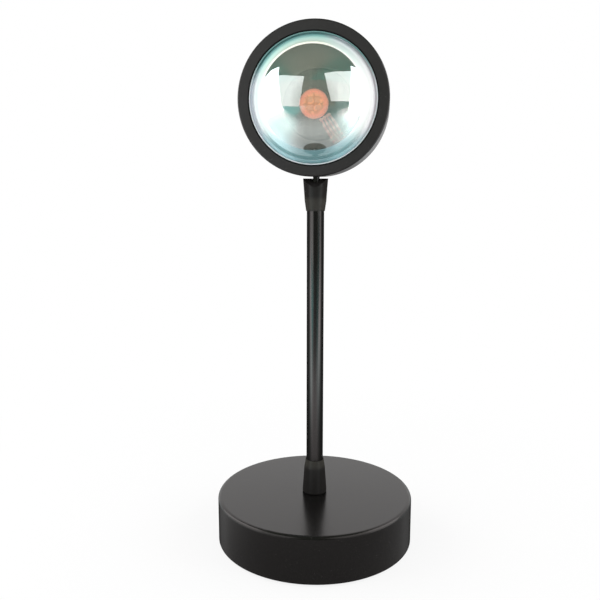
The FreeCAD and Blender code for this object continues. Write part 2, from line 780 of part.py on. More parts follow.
# ---- lens and what holds it ----
def make_dome_lens():
    sphere_radius = (lens_edge_radius ** 2 + lens_dome_height ** 2) / (2 * lens_dome_height)
    ball = Part.makeSphere(sphere_radius, Vector(0, lens_apex + sphere_radius, head_height))
    dome = ball.common(cylinder_y(sphere_radius + cut_margin, lens_apex - cut_margin, lens_flange_front))
    flange = cylinder_y(lens_flange_radius, lens_flange_front, lens_back)
    return dome.fuse(flange).removeSplitter()


def make_lens_trim_ring():
    sleeve_front = head_front + trim_sleeve_setback
    profile = [(trim_sleeve_inner_radius, sleeve_front), (trim_sleeve_outer_radius, sleeve_front),
               (trim_sleeve_outer_radius, bezel_shoulder), (lens_flange_radius, bezel_shoulder),
               (lens_flange_radius, lens_flange_front), (trim_sleeve_inner_radius, lens_flange_front)]
    return revolved_y(profile)


def make_lens_seal():
    return tube_y(seal_outer_radius, seal_inner_radius, lens_back, seal_back)


def make_lens_holder():
    # a tube inside the bezel's spigot, with a wider collar behind it in the drum's bore
    collar_front = spigot_back + 2 * seat_gap
    profile = [(holder_bore_radius, seal_back), (lens_flange_radius, seal_back),
               (lens_flange_radius, collar_front), (collar_outer_radius, collar_front),
               (collar_outer_radius, holder_back), (holder_bore_radius, holder_back)]
    return revolved_y(profile)


# ---- light source ----
def led_screw_places():
    return [polar(led_screw_spacing / 2, led_screw_angle + turn) for turn in (0, 180)]


def wire_offsets():
    middle = (led_wire_count - 1) / 2
    return [(index - middle) * led_wire_pitch for index in range(led_wire_count)]


def wire_point(distance, offset, station):
    x, z = polar(distance, led_wire_angle)
    side_x, side_z = polar(offset, led_wire_angle + 90)
    return Vector(x + side_x, station, head_height + z + side_z)


def make_led_wires():
    station = led_board_front - led_wire_radius - led_wire_lift
    wires = []
    for offset in wire_offsets():
        route = [wire_point(led_wire_start, offset, station), wire_point(led_wire_end, offset, station),
                 wire_point(led_wire_end, offset, board_front)]
        wires.append(round_wire(route, led_wire_bend, led_wire_radius))
    return Part.makeCompound(wires)


def make_mounting_plate():
    plate = cylinder_y(rear_bore_radius - seat_gap, plate_front, plate_back)
    for angle in cover_boss_angles:
        plate = plate.cut(cover_boss(angle, plate_front - cut_margin, plate_back + cut_margin, seat_gap))
    plate = plate.fuse(cylinder_y(led_board_radius, plate_boss_front, plate_front)).removeSplitter()
    holes = [(plate_screw_radius, polar(plate_screw_circle, angle)) for angle in plate_screw_angles]
    holes += [(led_screw_radius, place) for place in led_screw_places()]
    holes += [(sink_screw_radius, (side * sink_screw_x, sink_screw_z)) for side in (-1, 1)]
    holes += [(board_screw_radius, (side * standoff_x, standoff_z)) for side in (-1, 1)]
    holes += [(receiver_leg_radius, (receiver_x + leg * receiver_leg_pitch, receiver_z))
              for leg in (-1, 0, 1)]
    for radius, (x, z) in holes:
        plate = plate.cut(cylinder_y(radius + seat_gap, plate_boss_front - cut_margin,
                                     plate_back + cut_margin, x, z))
    for offset in wire_offsets():
        centre = wire_point(led_wire_end, offset, 0)
        plate = plate.cut(cylinder_y(led_wire_radius + wire_slot_margin, plate_front - cut_margin,
                                     plate_back + cut_margin, centre.x, centre.z - head_height))
    return plate


def make_plate_screws():
    screw = pan_screw(plate_screw_radius, plate_screw_head_radius, plate_screw_head_height,
                      plate_screw_length)
    return around_head(screw, plate_screw_circle, plate_screw_angles, plate_back)


def make_thermal_pad():
    pad = cylinder_y(led_board_radius, led_board_back, plate_boss_front)
    for x, z in led_screw_places():
        pad = pad.cut(cylinder_y(led_screw_radius + seat_gap, led_board_back - cut_margin,
                                 plate_boss_front + cut_margin, x, z))
    return pad


def make_led_board():
    board = cylinder_y(led_board_radius, led_board_front, led_board_back)
    for x, z in led_screw_places():
        board = board.cut(cylinder_y(led_screw_radius + seat_gap, led_board_front - cut_margin,
                                     led_board_back + cut_margin, x, z))
    return board


def make_led_board_screws():
    length = plate_front - led_board_front + plate_thickness
    screw = pan_screw(led_screw_radius, led_screw_head_radius, led_screw_head_height, length)
    return Part.makeCompound([placed(screw, Vector(x, led_board_front, head_height + z), -rearward)
                              for x, z in led_screw_places()])


def make_led_emitter():
    return cylinder_y(emitter_radius, emitter_front, led_board_front, emitter_x)


def make_led_chips():
    chips = []
    for across in (-chip_pitch / 2, chip_pitch / 2):
        for upward in (-chip_pitch / 2, chip_pitch / 2):
            chips.append(head_block((emitter_x + across, upward), (chip_size, chip_size),
                                    emitter_front - chip_thickness, emitter_front))
    return Part.makeCompound(chips)


def make_ir_receiver():
    front = plate_front - receiver_depth
    body = head_block((receiver_x, receiver_z), (receiver_width, receiver_length), front, plate_front)
    dome = cylinder_y(receiver_dome_radius, front - receiver_dome_rise, front, receiver_x, receiver_z)
    receiver = body.fuse(dome)
    for leg in (-1, 0, 1):
        receiver = receiver.fuse(cylinder_y(receiver_leg_radius, plate_front, board_front,
                                            receiver_x + leg * receiver_leg_pitch, receiver_z))
    return receiver.removeSplitter()


# ---- heat sink ----
def make_heat_sink():
    sink = block((-sink_half_width, sink_half_width), (plate_back, sink_base_back),
                 (head_height + sink_bottom, head_height + sink_top))
    for index in range(-fins_each_side, fins_each_side + 1):
        left = index * sink_fin_pitch - sink_fin_thickness / 2
        sink = sink.fuse(block((left, left + sink_fin_thickness),
                               (sink_base_back, sink_base_back + sink_fin_height),
                               (head_height + sink_bottom, head_height + sink_top)))
    sink = sink.removeSplitter()
    room = cylinder_y(rear_bore_radius - sink_base_thickness, plate_back, cover_front)
    sink = sink.common(room)
    for side in (-1, 1):
        sink = sink.cut(cylinder_y(sink_screw_radius + seat_gap, plate_back - cut_margin,
                                   cover_front, side * sink_screw_x, sink_screw_z))
    for x, z in led_screw_places():
        sink = sink.cut(cylinder_y(led_screw_radius + seat_gap, plate_back - cut_margin,
                                   sink_base_back - seat_gap, x, z))
    return sink


def make_heat_sink_screws():
    length = sink_base_thickness + plate_thickness
    screw = pan_screw(sink_screw_radius, sink_screw_head_radius, sink_screw_head_height, length)
    return Part.makeCompound([placed(screw, Vector(side * sink_screw_x, sink_base_back,
                                                   head_height + sink_screw_z), rearward)
                              for side in (-1, 1)])


# ---- controller ----
def make_controller_board():
    board = block((-board_width / 2, board_width / 2), (board_front, board_back),
                  (head_height + board_bottom, head_height + board_top))
    for side in (-1, 1):
        board = board.cut(cylinder_y(board_screw_radius + seat_gap, board_front - cut_margin,
                                     board_back + cut_margin, side * standoff_x, standoff_z))
    return board


def make_controller_parts():
    chip = head_block((chip_x, component_z), (chip_block[0], chip_block[2]),
                      board_back, board_back + chip_block[1])
    coil = cylinder_y(coil_radius, board_back, board_back + coil_depth, coil_x, component_z)
    capacitor = cylinder_y(capacitor_radius, board_back, board_back + capacitor_depth,
                           capacitor_x, component_z)
    socket = head_block((0, socket_z), (socket_block[0], socket_block[2]),
                        board_back, board_back + socket_block[1])
    return Part.makeCompound([chip, coil, capacitor, socket])


def make_board_standoffs():
    posts = []
    for side in (-1, 1):
        post = cylinder_y(standoff_radius, plate_back, board_front, side * standoff_x, standoff_z)
        hole = cylinder_y(board_screw_radius + running_gap, plate_back - cut_margin,
                          board_front + cut_margin, side * standoff_x, standoff_z)
        posts.append(post.cut(hole))
    return Part.makeCompound(posts)


def make_board_screws():
    screw = pan_screw(board_screw_radius, board_screw_head_radius, board_screw_head_height,
                      board_screw_length)
    return Part.makeCompound([placed(screw, Vector(side * standoff_x, board_back,
                                                   head_height + standoff_z), rearward)
                              for side in (-1, 1)])


def make_head_lead():
    landing = head_height + board_bottom + head_lead_rise
    route = [Vector(0, head_lead_y, drum_underside + head_lead_start), Vector(0, head_lead_y, landing),
             Vector(0, board_front, landing)]
    return both_cores(route, board_front - head_lead_y - running_gap)


# ---- write every sub-part ----
nodes = {
    "base_shell": make_base_shell(),
    "base_plate": make_base_plate(),
    "foot_pad": make_foot_pad(),
    "ballast_weight": make_ballast_weight(),
    "base_screws": make_base_screws(),
    "cable_gland": make_cable_gland(),
    "lead_connector": make_lead_connector(),
    "stem_lead": make_stem_lead(),
    "stem_tube": make_stem_tube(),
    "stem_washer": make_stem_washer(),
    "stem_nut": make_stem_nut(),
    "lower_ferrule": make_lower_ferrule(),
    "swivel_washer": make_swivel_washer(),
    "swivel_retaining_ring": make_swivel_retaining_ring(),
    "upper_ferrule": make_upper_ferrule(),
    "pivot_screw": make_pivot_screw(),
    "pivot_nut": make_pivot_nut(),
    "pivot_washers": make_pivot_washers(),
    "hinge_tongue": make_hinge_tongue(),
    "tongue_screws": make_tongue_screws(),
    "head_housing": make_head_housing(),
    "front_bezel": make_front_bezel(),
    "rear_cover": make_rear_cover(),
    "rear_cover_screws": make_rear_cover_screws(),
    "dome_lens": make_dome_lens(),
    "lens_trim_ring": make_lens_trim_ring(),
    "lens_seal": make_lens_seal(),
    "lens_holder": make_lens_holder(),
    "mounting_plate": make_mounting_plate(),
    "plate_screws": make_plate_screws(),
    "thermal_pad": make_thermal_pad(),
    "led_board": make_led_board(),
    "led_board_screws": make_led_board_screws(),
    "led_emitter": make_led_emitter(),
    "led_chips": make_led_chips(),
    "led_wires": make_led_wires(),
    "ir_receiver": make_ir_receiver(),
    "heat_sink": make_heat_sink(),
    "heat_sink_screws": make_heat_sink_screws(),
    "controller_board": make_controller_board(),
    "controller_parts": make_controller_parts(),
    "board_standoffs": make_board_standoffs(),
    "board_screws": make_board_screws(),
    "head_lead": make_head_lead(),
}

os.makedirs("parts", exist_ok=True)
for name, shape in nodes.items():
    shape.exportStep("parts/" + name + ".step")
    print(name, len(shape.Solids), "solid(s)", round(shape.Volume, 1), "mm3", "valid", shape.isValid())
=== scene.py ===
import math

import bmesh
import bpy
import numpy as np
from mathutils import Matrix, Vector


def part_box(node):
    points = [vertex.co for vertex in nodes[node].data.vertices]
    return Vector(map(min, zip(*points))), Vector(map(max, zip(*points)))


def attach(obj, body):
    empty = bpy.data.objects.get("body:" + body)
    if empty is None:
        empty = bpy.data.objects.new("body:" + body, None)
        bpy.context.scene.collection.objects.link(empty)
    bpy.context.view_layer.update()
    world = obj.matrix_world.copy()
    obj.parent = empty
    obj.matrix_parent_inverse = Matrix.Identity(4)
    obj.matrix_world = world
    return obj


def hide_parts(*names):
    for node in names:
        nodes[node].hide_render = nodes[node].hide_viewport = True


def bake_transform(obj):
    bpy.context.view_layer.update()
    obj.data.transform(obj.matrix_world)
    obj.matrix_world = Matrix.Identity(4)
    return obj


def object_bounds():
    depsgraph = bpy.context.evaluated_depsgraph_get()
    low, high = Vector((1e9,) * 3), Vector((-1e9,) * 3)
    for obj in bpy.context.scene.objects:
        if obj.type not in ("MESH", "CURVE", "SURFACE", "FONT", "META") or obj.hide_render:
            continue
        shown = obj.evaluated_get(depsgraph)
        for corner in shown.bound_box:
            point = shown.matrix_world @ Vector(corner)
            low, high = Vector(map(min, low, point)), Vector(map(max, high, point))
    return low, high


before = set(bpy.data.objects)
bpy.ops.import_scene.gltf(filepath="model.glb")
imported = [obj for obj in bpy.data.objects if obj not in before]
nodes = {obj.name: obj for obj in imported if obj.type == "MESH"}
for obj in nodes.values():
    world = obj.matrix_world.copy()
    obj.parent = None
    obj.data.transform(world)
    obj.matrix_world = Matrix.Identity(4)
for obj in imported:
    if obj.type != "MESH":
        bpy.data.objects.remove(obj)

# Sunset projection lamp. Metres, +Z up, the head looks along -Y. Lengths in the dictionaries are
# millimetres where a name ends in Mm, and metres elsewhere. Texture scales are cells per metre.

cadLow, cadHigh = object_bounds()
scene = bpy.context.scene
mm = 0.001
housingLow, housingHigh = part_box("head_housing")
headAxis = (housingLow.z + housingHigh.z) / 2     # height of the drum's axis above the table
print("frame loaded:", len(nodes), "nodes, head axis at", round(headAxis, 4))


def addObject(name, data):
    made = bpy.data.objects.new(name, data)
    scene.collection.objects.link(made)
    return made


cameraSet = {
    "distance": 0.3542,  # from the stem's axis
    "turn": 5.5,         # degrees round to the lamp's left
    "height": 0.1848,
    "pitch": 9.53,       # degrees down
    "yaw": 1.228,        # degrees to the left, so the stem stands right of the middle
    "focalMm": 43.12,
    "sensorMm": 36,
    "sees": (0.01, 30),  # nearest and farthest point
}


def makeCamera(s):
    turn = math.radians(s["turn"])
    data = bpy.data.cameras.new("camera")
    data.lens = s["focalMm"]
    data.sensor_width = s["sensorMm"]
    data.clip_start, data.clip_end = s["sees"]
    camera = addObject("camera", data)
    camera.location = (s["distance"] * math.sin(turn), -s["distance"] * math.cos(turn), s["height"])
    camera.rotation_euler = (math.radians(90 - s["pitch"]), 0, turn + math.radians(s["yaw"]))
    scene.camera = camera


makeCamera(cameraSet)


class Wire:
    # an output socket; sums and products on it add Math nodes
    def __init__(self, finish, socket):
        self.finish, self.socket = finish, socket

    def maths(self, operation, *values):
        return self.finish.node("ShaderNodeMath", {"operation": operation}, dict(enumerate(values)))

    def __add__(self, other):
        return self.maths("ADD", self, other)

    def __radd__(self, other):
        return self.maths("ADD", other, self)

    def __sub__(self, other):
        return self.maths("SUBTRACT", self, other)

    def __rsub__(self, other):
        return self.maths("SUBTRACT", other, self)

    def __mul__(self, other):
        return self.maths("MULTIPLY", self, other)

    def __rmul__(self, other):
        return self.maths("MULTIPLY", other, self)

    def __truediv__(self, other):
        return self.maths("DIVIDE", self, other)

    def __rtruediv__(self, other):
        return self.maths("DIVIDE", other, self)

    def __pow__(self, other):
        return self.maths("POWER", self, other)

    def larger(self, other):
        return self.maths("MAXIMUM", self, other)

    def pingPong(self, span):       # rises and falls between 0 and span
        return self.maths("PINGPONG", self, span)

    def pick(self, name):           # another output of the same node
        return Wire(self.finish, self.socket.node.outputs[name])


def fromAxis(a, b):                 # distance from an axis, a and b being the distances across it
    return (a * a + b * b) ** 0.5


def opaque(colour):                 # a colour with its fourth number, or a link as it is
    return colour if isinstance(colour, Wire) else (*colour, 1)


def shade(colour, gain, lift=0):    # a paler or darker colour
    return tuple(c * gain + lift for c in colour)


def varied(wire, least, added):
    return least + wire * added


class Finish:
    # a material; node() takes a node's type, its settings, then the values or links of its sockets
    socketNames = {
        "colour": "Base Color", "roughness": "Roughness", "metallic": "Metallic", "normal": "Normal",
        "specular": "Specular IOR Level", "shineTint": "Specular Tint", "ior": "IOR",
        "coat": "Coat Weight", "coatRoughness": "Coat Roughness",
        "transmission": "Transmission Weight",
        "subsurface": "Subsurface Weight", "scatter": "Subsurface Scale",
        "glow": "Emission Color", "glowStrength": "Emission Strength",
    }

    def __init__(self, name, holder=None):
        self.holder = holder or bpy.data.materials.new(name)
        self.holder.use_nodes = True
        self.tree = self.holder.node_tree
        self.tree.nodes.clear()

    def node(self, kind, settings=None, sockets=None):
        made = self.tree.nodes.new(kind)
        for name, value in (settings or {}).items():
            if name == "stops":
                ramp = made.color_ramp
                while len(ramp.elements) < len(value):
                    ramp.elements.new(0.5)
                for element, (position, colour) in zip(ramp.elements, value):
                    element.position = position
                    element.color = opaque(colour)
            else:
                setattr(made, name, value)
        for key, value in (sockets or {}).items():
            if isinstance(value, Wire):
                self.tree.links.new(value.socket, made.inputs[key])
            else:
                made.inputs[key].default_value = value
        return Wire(self, next((socket for socket in made.outputs if socket.enabled), None))

    def place(self):                # Object coordinates, which are the frame's metres
        return self.node("ShaderNodeTexCoord").pick("Object")

    def axes(self):                 # x, y and z of the Object coordinates
        split = self.node("ShaderNodeSeparateXYZ", None, {0: self.place()})
        return [split.pick(name) for name in "XYZ"]

    def ray(self, *kinds):          # 1 for these kinds of ray, such as Camera
        path = self.node("ShaderNodeLightPath")
        first, *others = [path.pick(f"Is {kind} Ray") for kind in kinds]
        for other in others:
            first = first.larger(other)
        return first

    def facing(self):               # 0 where the surface faces the eye, 1 where it is aslant
        return self.node("ShaderNodeLayerWeight", None, {"Blend": 0.5}).pick("Facing")

    def stretched(self, scale):
        return self.node("ShaderNodeMapping", {"vector_type": "POINT"},
                         {"Vector": self.place(), "Scale": scale})

    def vector(self, x, y, z):
        return self.node("ShaderNodeCombineXYZ", None, {0: x, 1: y, 2: z})

    def noise(self, scale, detail=2.0, rough=0.5, vector=None):
        return self.node("ShaderNodeTexNoise", {"noise_dimensions": "3D"},
                         {"Vector": vector or self.place(), "Scale": scale, "Detail": detail,
                          "Roughness": rough})

    def cells(self, scale, feature="F1"):
        return self.node("ShaderNodeTexVoronoi", {"feature": feature},
                         {"Vector": self.place(), "Scale": scale})

    def ramp(self, value, stops):
        return self.node("ShaderNodeValToRGB", {"stops": stops}, {0: value})

    def step(self, value, low, high):       # 0 below low, 1 above high, smooth between
        return self.node("ShaderNodeMapRange", {"interpolation_type": "SMOOTHSTEP"},
                         {0: value, 1: low, 2: high})

    def blendColour(self, factor, first, second):
        return self.node("ShaderNodeMix", {"data_type": "RGBA", "blend_type": "MIX"},
                         {0: factor, 6: opaque(first), 7: opaque(second)})

    def bump(self, height, depth):
        return self.node("ShaderNodeBump", None, {"Height": height, "Distance": depth})

    def surface(self, **values):
        return self.node("ShaderNodeBsdfPrincipled", None, {
            self.socketNames[key]: opaque(value) if key in ("colour", "glow", "shineTint") else value
            for key, value in values.items()})

    def mixed(self, factor, first, second):
        return self.node("ShaderNodeMixShader", None, {0: factor, 1: first, 2: second})

    def finish(self, shader, output="ShaderNodeOutputMaterial"):
        self.node(output, None, {"Surface": shader})
        return self.holder

    def skin(self, height, depth, **values):        # a material of one bumpy surface
        return self.finish(self.surface(normal=self.bump(height, depth), **values))


studioSet = {
    "floorHalf": 3.0,
    "floorDrop": 0.0002,            # below the lamp's lowest point
    "floorColour": (0.95, 0.95, 0.95),
    "floorRoughness": 0.85,
    "floorSpecular": 0.1,
    "floorToothScale": 900,
    "floorTooth": 0.00004,          # height of the paper's tooth
    "floorLift": 0.85,              # how much of the camera's view of the floor is plain white
    "floorFade": (0.08, 0.30),      # distance from the lamp over which the floor turns plain white
    "worldLight": 0.42,             # what the surroundings give to matt surfaces
    # lamps, name: centre, width, height, radiance, point that it faces
    "lights": {
        "leftPanel": ((-0.62, 0.06, 0.40), 0.92, 0.78, 2.0, (0.0, 0.06, 0.38)),
        "rightPanel": ((0.64, 0.08, 0.40), 0.92, 0.78, 1.9, (0.0, 0.08, 0.38)),
        "frontLeftPanel": ((-0.44, -0.433, 0.46), 0.72, 0.66, 0.85, (0.426, 0.068, 0.46)),
        "frontRightPanel": ((0.523, -0.44, 0.50), 0.77, 0.70, 0.85, (-0.362, 0.024, 0.50)),
    },
    # panels and cards that only reflections see, name: distance from the glass, radiance, tint,
    # then each corner's bearing (0 straight ahead of the lamp, plus to its left) and height, degrees
    "mirroredFrom": (0.0, -0.03, 0.221),
    "mirrored": {
        "leftBox": (0.66, 3.0, (1.0, 1.0, 1.0), [
            (-85.5, 43.3), (-101, 34), (-106.5, 25.6), (-109, 17), (-113, 6), (-115.5, -7),
            (-111, -17), (-53, -17), (-56.6, -8.7), (-58, 2), (-59.6, 12), (-68, 28)]),
        "rightBox": (0.66, 3.0, (1.0, 1.0, 1.0), [
            (97.4, 44), (110, 36.4), (117, 27.3), (121, 17.3), (121, 6.6), (114, -3.7),
            (106, -17), (69, -17), (69, -3.5), (70.5, 8), (72.4, 19), (80, 31)]),
        "leftFlap": (0.73, 1.75, (0.98, 1.0, 0.99), [
            (-16, 36.4), (-29, 36.6), (-44, 35.8), (-60, 34.5), (-80, 31.5), (-76, 12), (-72, -9),
            (-48, -11), (-22.7, -14), (-18.2, 8)]),
        "rightFlap": (0.73, 1.8, (1.0, 1.0, 0.98), [
            (25.6, 41.5), (38, 42.6), (53, 42.4), (70, 40.8), (90, 37.8), (85, 19), (82, -2.5),
            (69, -2.8), (52, -4), (34, -5.4), (28, 18)]),
        "frontCard": (1.02, 0.20, (0.80, 1.0, 0.76), [
            (-40, 50), (0, 54), (42, 50), (42, 10), (42, -12), (0, -12), (-40, -12), (-40, 10)]),
    },
    # centre, half its width and depth, radiance, tint
    "ceiling": ((0.0, -0.16, 0.92), (1.35, 0.60), 0.15, (0.80, 1.0, 0.74)),
    "cardCloudScale": 3.0,
    "cardCloud": 0.24,              # how much a card's radiance varies over it
    # the table as the glass and the paint mirror it: bright beside the side panels, dark in front
    "tableGrey": 0.50,
    "tableNearLift": 0.25,
    "tableFrontDim": 0.62,
    "tableLeftLess": 0.70,
    "tableLeftGlow": 1.35,
    "tableRightGlow": 0.56,
    "tableBoxGlow": 1.9,
    "nearTableTint": (0.86, 1.0, 1.0),
    "farTableTint": (0.42, 1.0, 0.97),
    # where each part of the mirrored table starts and is full, or starts to end and has ended
    "spans": {
        "nearFront": (0.05, 0.16),
        "farFront": (0.24, 0.46),
        "leftward": (0.08, 0.30),
        "leftSide": (0.03, 0.24),
        "leftSlant": (-0.24, -0.04),    # of y - leftSlope x
        "rightSide": (0.07, 0.24),
        "rightSlant": (-0.10, 0.14),    # of y + rightSlope x
        "rightEnd": (0.40, 0.55),
        "boxSlant": (0.10, 0.44),       # of x + boxSlope y
        "boxEnd": (0.16, 0.34),
        "boxBack": (-0.03, 0.11),
        "nearSides": (0.004, 0.03),     # of x squared
        "nearEnd": (0.40, 0.52),
        "farSides": (0.010, 0.07),      # of x squared
    },
    "leftSlope": 0.589,
    "rightSlope": 0.9,
    "boxSlope": 0.6,
}


def makeWorld(s):
    # plain white to the camera, to glass and to reflections, and dimmer to matt surfaces
    world = bpy.data.worlds.new("studioAir")
    scene.world = world
    air = Finish("studioAir", world)
    strength = varied(air.ray("Camera", "Glossy", "Transmission"), s["worldLight"], 1 - s["worldLight"])
    shine = air.node("ShaderNodeBackground", None, {"Color": (1, 1, 1, 1), "Strength": strength})
    air.finish(shine, "ShaderNodeOutputWorld")


def flatFace(name, corners):
    mesh = bpy.data.meshes.new(name)
    mesh.from_pydata(corners, [], [tuple(range(len(corners)))])
    return addObject(name, mesh)


def rectangle(centre, halfX, halfY):
    x, y, z = centre
    return [(x + a * halfX, y + b * halfY, z) for a, b in ((-1, -1), (1, -1), (1, 1), (-1, 1))]


def makeFloor(s):
    # one flat face under the lamp's foot, which turns plain white away from the lamp
    half = s["floorHalf"]
    floor = flatFace("floor", rectangle((0, 0, cadLow.z - s["floorDrop"]), half, half))
    paper = Finish("palePaper")

    def within(value, span):
        return paper.step(value, *s["spans"][span])

    x, y, z = paper.axes()
    away = fromAxis(x, y)
    fade = paper.step(away, *s["floorFade"])
    seen = paper.ray("Camera", "Transmission")
    mirrored = paper.ray("Glossy")
    lift = (seen * varied(fade, s["floorLift"], 1 - s["floorLift"])).larger(mirrored)

    front = 0 - y
    ahead = within(front, "farFront")
    leftward = within(0 - x, "leftward")
    left = within(0 - x, "leftSide") * within(y - x * s["leftSlope"], "leftSlant")
    right = (within(x, "rightSide") * within(y + x * s["rightSlope"], "rightSlant")
             * (1 - within(front, "rightEnd")))
    underBox = (within(x + y * s["boxSlope"], "boxSlant") * (1 - within(front, "boxEnd"))
                * (1 - within(y, "boxBack")))
    table = s["tableGrey"] + within(front, "nearFront") * s["tableNearLift"]
    table = table * (1 - ahead * (s["tableFrontDim"] - leftward * s["tableLeftLess"]))
    table = table + left * s["tableLeftGlow"] + right * (s["tableRightGlow"] + underBox * s["tableBoxGlow"])
    shine = seen.larger(mirrored * table)

    near = mirrored * within(x * x, "nearSides") * (1 - within(away, "nearEnd"))
    far = mirrored * ahead * within(x * x, "farSides") * (1 - left) * (1 - right)
    tint = paper.blendColour(near, (1, 1, 1), s["nearTableTint"])
    tint = paper.blendColour(far, tint, s["farTableTint"])
    tooth = paper.noise(s["floorToothScale"], 2)
    matt = paper.surface(colour=s["floorColour"], roughness=s["floorRoughness"],
                         specular=s["floorSpecular"], normal=paper.bump(tooth, s["floorTooth"]))
    plain = paper.node("ShaderNodeEmission", None, {"Color": tint, "Strength": shine})
    floor.data.materials.append(paper.finish(paper.mixed(lift, matt, plain)))


def makeLights(s):
    # neither the camera nor reflections see these lamps
    for name, (centre, width, height, radiance, target) in s["lights"].items():
        data = bpy.data.lights.new(name, "AREA")
        data.shape = "RECTANGLE"
        data.size, data.size_y = width, height
        data.energy = radiance * math.pi * width * height
        light = addObject(name, data)
        light.location = centre
        light.rotation_euler = (Vector(target) - Vector(centre)).to_track_quat("-Z", "Y").to_euler()
        light.visible_camera = light.visible_glossy = False


def addCard(name, corners, radiance, tint, s):
    # one flat or slightly hollow face that only reflections see
    card = flatFace(name, corners)
    cloth = Finish(name + "Cloth")
    cloud = cloth.noise(s["cardCloudScale"], 3) * s["cardCloud"] + (1 - s["cardCloud"] / 2)
    card.data.materials.append(cloth.finish(cloth.node("ShaderNodeEmission", None, {
        "Color": opaque(tint), "Strength": cloud * radiance})))
    card.visible_camera = card.visible_diffuse = card.visible_shadow = card.visible_transmission = False


def makeCards(s):
    # corner = eye + distance * (sin a cos e, -cos a cos e, sin e)
    for name, (distance, radiance, tint, bearings) in s["mirrored"].items():
        turn, rise = np.radians(np.array(bearings, float)).T
        away = np.stack([np.sin(turn) * np.cos(rise), -np.cos(turn) * np.cos(rise), np.sin(rise)], -1)
        addCard(name, (np.array(s["mirroredFrom"]) + away * distance).tolist(), radiance, tint, s)
    centre, half, radiance, tint = s["ceiling"]
    addCard("ceilingCard", rectangle(centre, *half), radiance, tint, s)


makeWorld(studioSet)
makeFloor(studioSet)
makeLights(studioSet)
makeCards(studioSet)
scene.view_settings.view_transform = "Standard"
print("camera, floor and lights ready")

paintLook = {
    "cloudScale": 45,
    "cloudGain": 1.35,         # how much paler the cloud's pale patches are
    "cloudLift": 0.001,
    "dustScale": 1100,
    "dustFrom": (0.70, 0.78),  # noise where a speck starts and is full
    "dustColour": (0.16, 0.155, 0.15),
}


def paintTone(f, colour, dust):
    # black paint is a little cloudy, with a few specks of dust
    s = paintLook
    cloud = f.noise(s["cloudScale"], 3, 0.6)
    tone = f.blendColour(cloud, colour, shade(colour, s["cloudGain"], s["cloudLift"]))
    specks = f.step(f.noise(s["dustScale"], 1), *s["dustFrom"])
    return cloud, f.blendColour(specks * dust, tone, s["dustColour"])


def nearRim(f, x, y, z, radius, depth, reach):
    # 1 on the circle of that radius and y about the drum's axis, fading from 0.3 of reach to reach
    out = fromAxis(x, z - headAxis) - radius * mm
    along = y - depth * mm
    return 1 - f.step(fromAxis(out, along), reach * mm * 0.3, reach * mm)


satinLook = {
    "colour": (0.0152, 0.0132, 0.0136),
    "roughness": 0.42,
    "cloudDull": 0.08,  # how much roughness changes with the cloud, the grain and wear
    "grainDull": 0.05,
    "wornShine": 0.10,
    "peel": 0.000014,   # height of the orange peel
    "swellScale": 650,
    "swellShare": 0.7,  # of that height, and the rest is grain
    "grainScale": 3200,
    "dust": 0.15,
    # circles about the drum's axis: radius, y, reach
    "wornRimMm": (34.9, -14.8, 0.9),
    # painted shade: matt black lines along the bezel's outer and inner edges
    "paintedShadeRimsMm": ((35.1, -15.0, 0.62), (29.7, -15.0, 0.85)),
    "wearScale": 160,
    "wearFrom": (0.50, 0.70),
    "wear": 0.15,
    "wearGain": 2.4,    # how much paler the worn paint is
    "wearLift": 0.01,
    "shadedCornerColour": (0.002, 0.002, 0.002),
    "shadedCornerRoughness": 0.6,
    "shadedCornerSpecular": 0.1,
}


def satinPaint(name, s):
    # powder coat: fine grain on a soft orange peel, rubbed a little smoother along its edges, with painted
    # shade, a matt black line, along the bezel's two sharp edges
    f = Finish(name)
    colour = s["colour"]
    cloud, tone = paintTone(f, colour, s["dust"])
    grain = f.noise(s["grainScale"], 2)
    swell = f.noise(s["swellScale"], 2, 0.4)
    edge = nearRim(f, *f.axes(), *s["wornRimMm"])
    rubbed = edge * f.step(f.noise(s["wearScale"], 4, 0.7), *s["wearFrom"])
    tone = f.blendColour(rubbed * s["wear"], tone, shade(colour, s["wearGain"], s["wearLift"]))
    rough = (s["roughness"] + (cloud - 0.5) * s["cloudDull"] + (grain - 0.5) * s["grainDull"]
             - edge * s["wornShine"])
    height = swell * s["swellShare"] + grain * (1 - s["swellShare"])
    paint = f.surface(colour=tone, roughness=rough, normal=f.bump(height, s["peel"]))
    # the painted shade along the bezel's edges
    paintedShadeCorner = f.surface(colour=s["shadedCornerColour"], roughness=s["shadedCornerRoughness"],
                     specular=s["shadedCornerSpecular"])
    first, second = (nearRim(f, *f.axes(), *rim) for rim in s["paintedShadeRimsMm"])
    return f.finish(f.mixed(first.larger(second), paint, paintedShadeCorner))


lacquerLook = {
    "dust": 0.10,
    "grainScale": 2800,
    "drawnScale": (2600, 2600, 90),
    "cloudDull": 0.06,
    "mattRoughness": 0.7,
    # paler tone of the painted highlight bands on the ferrules
    "highlightBandTone": (0.040, 0.038, 0.033),
}


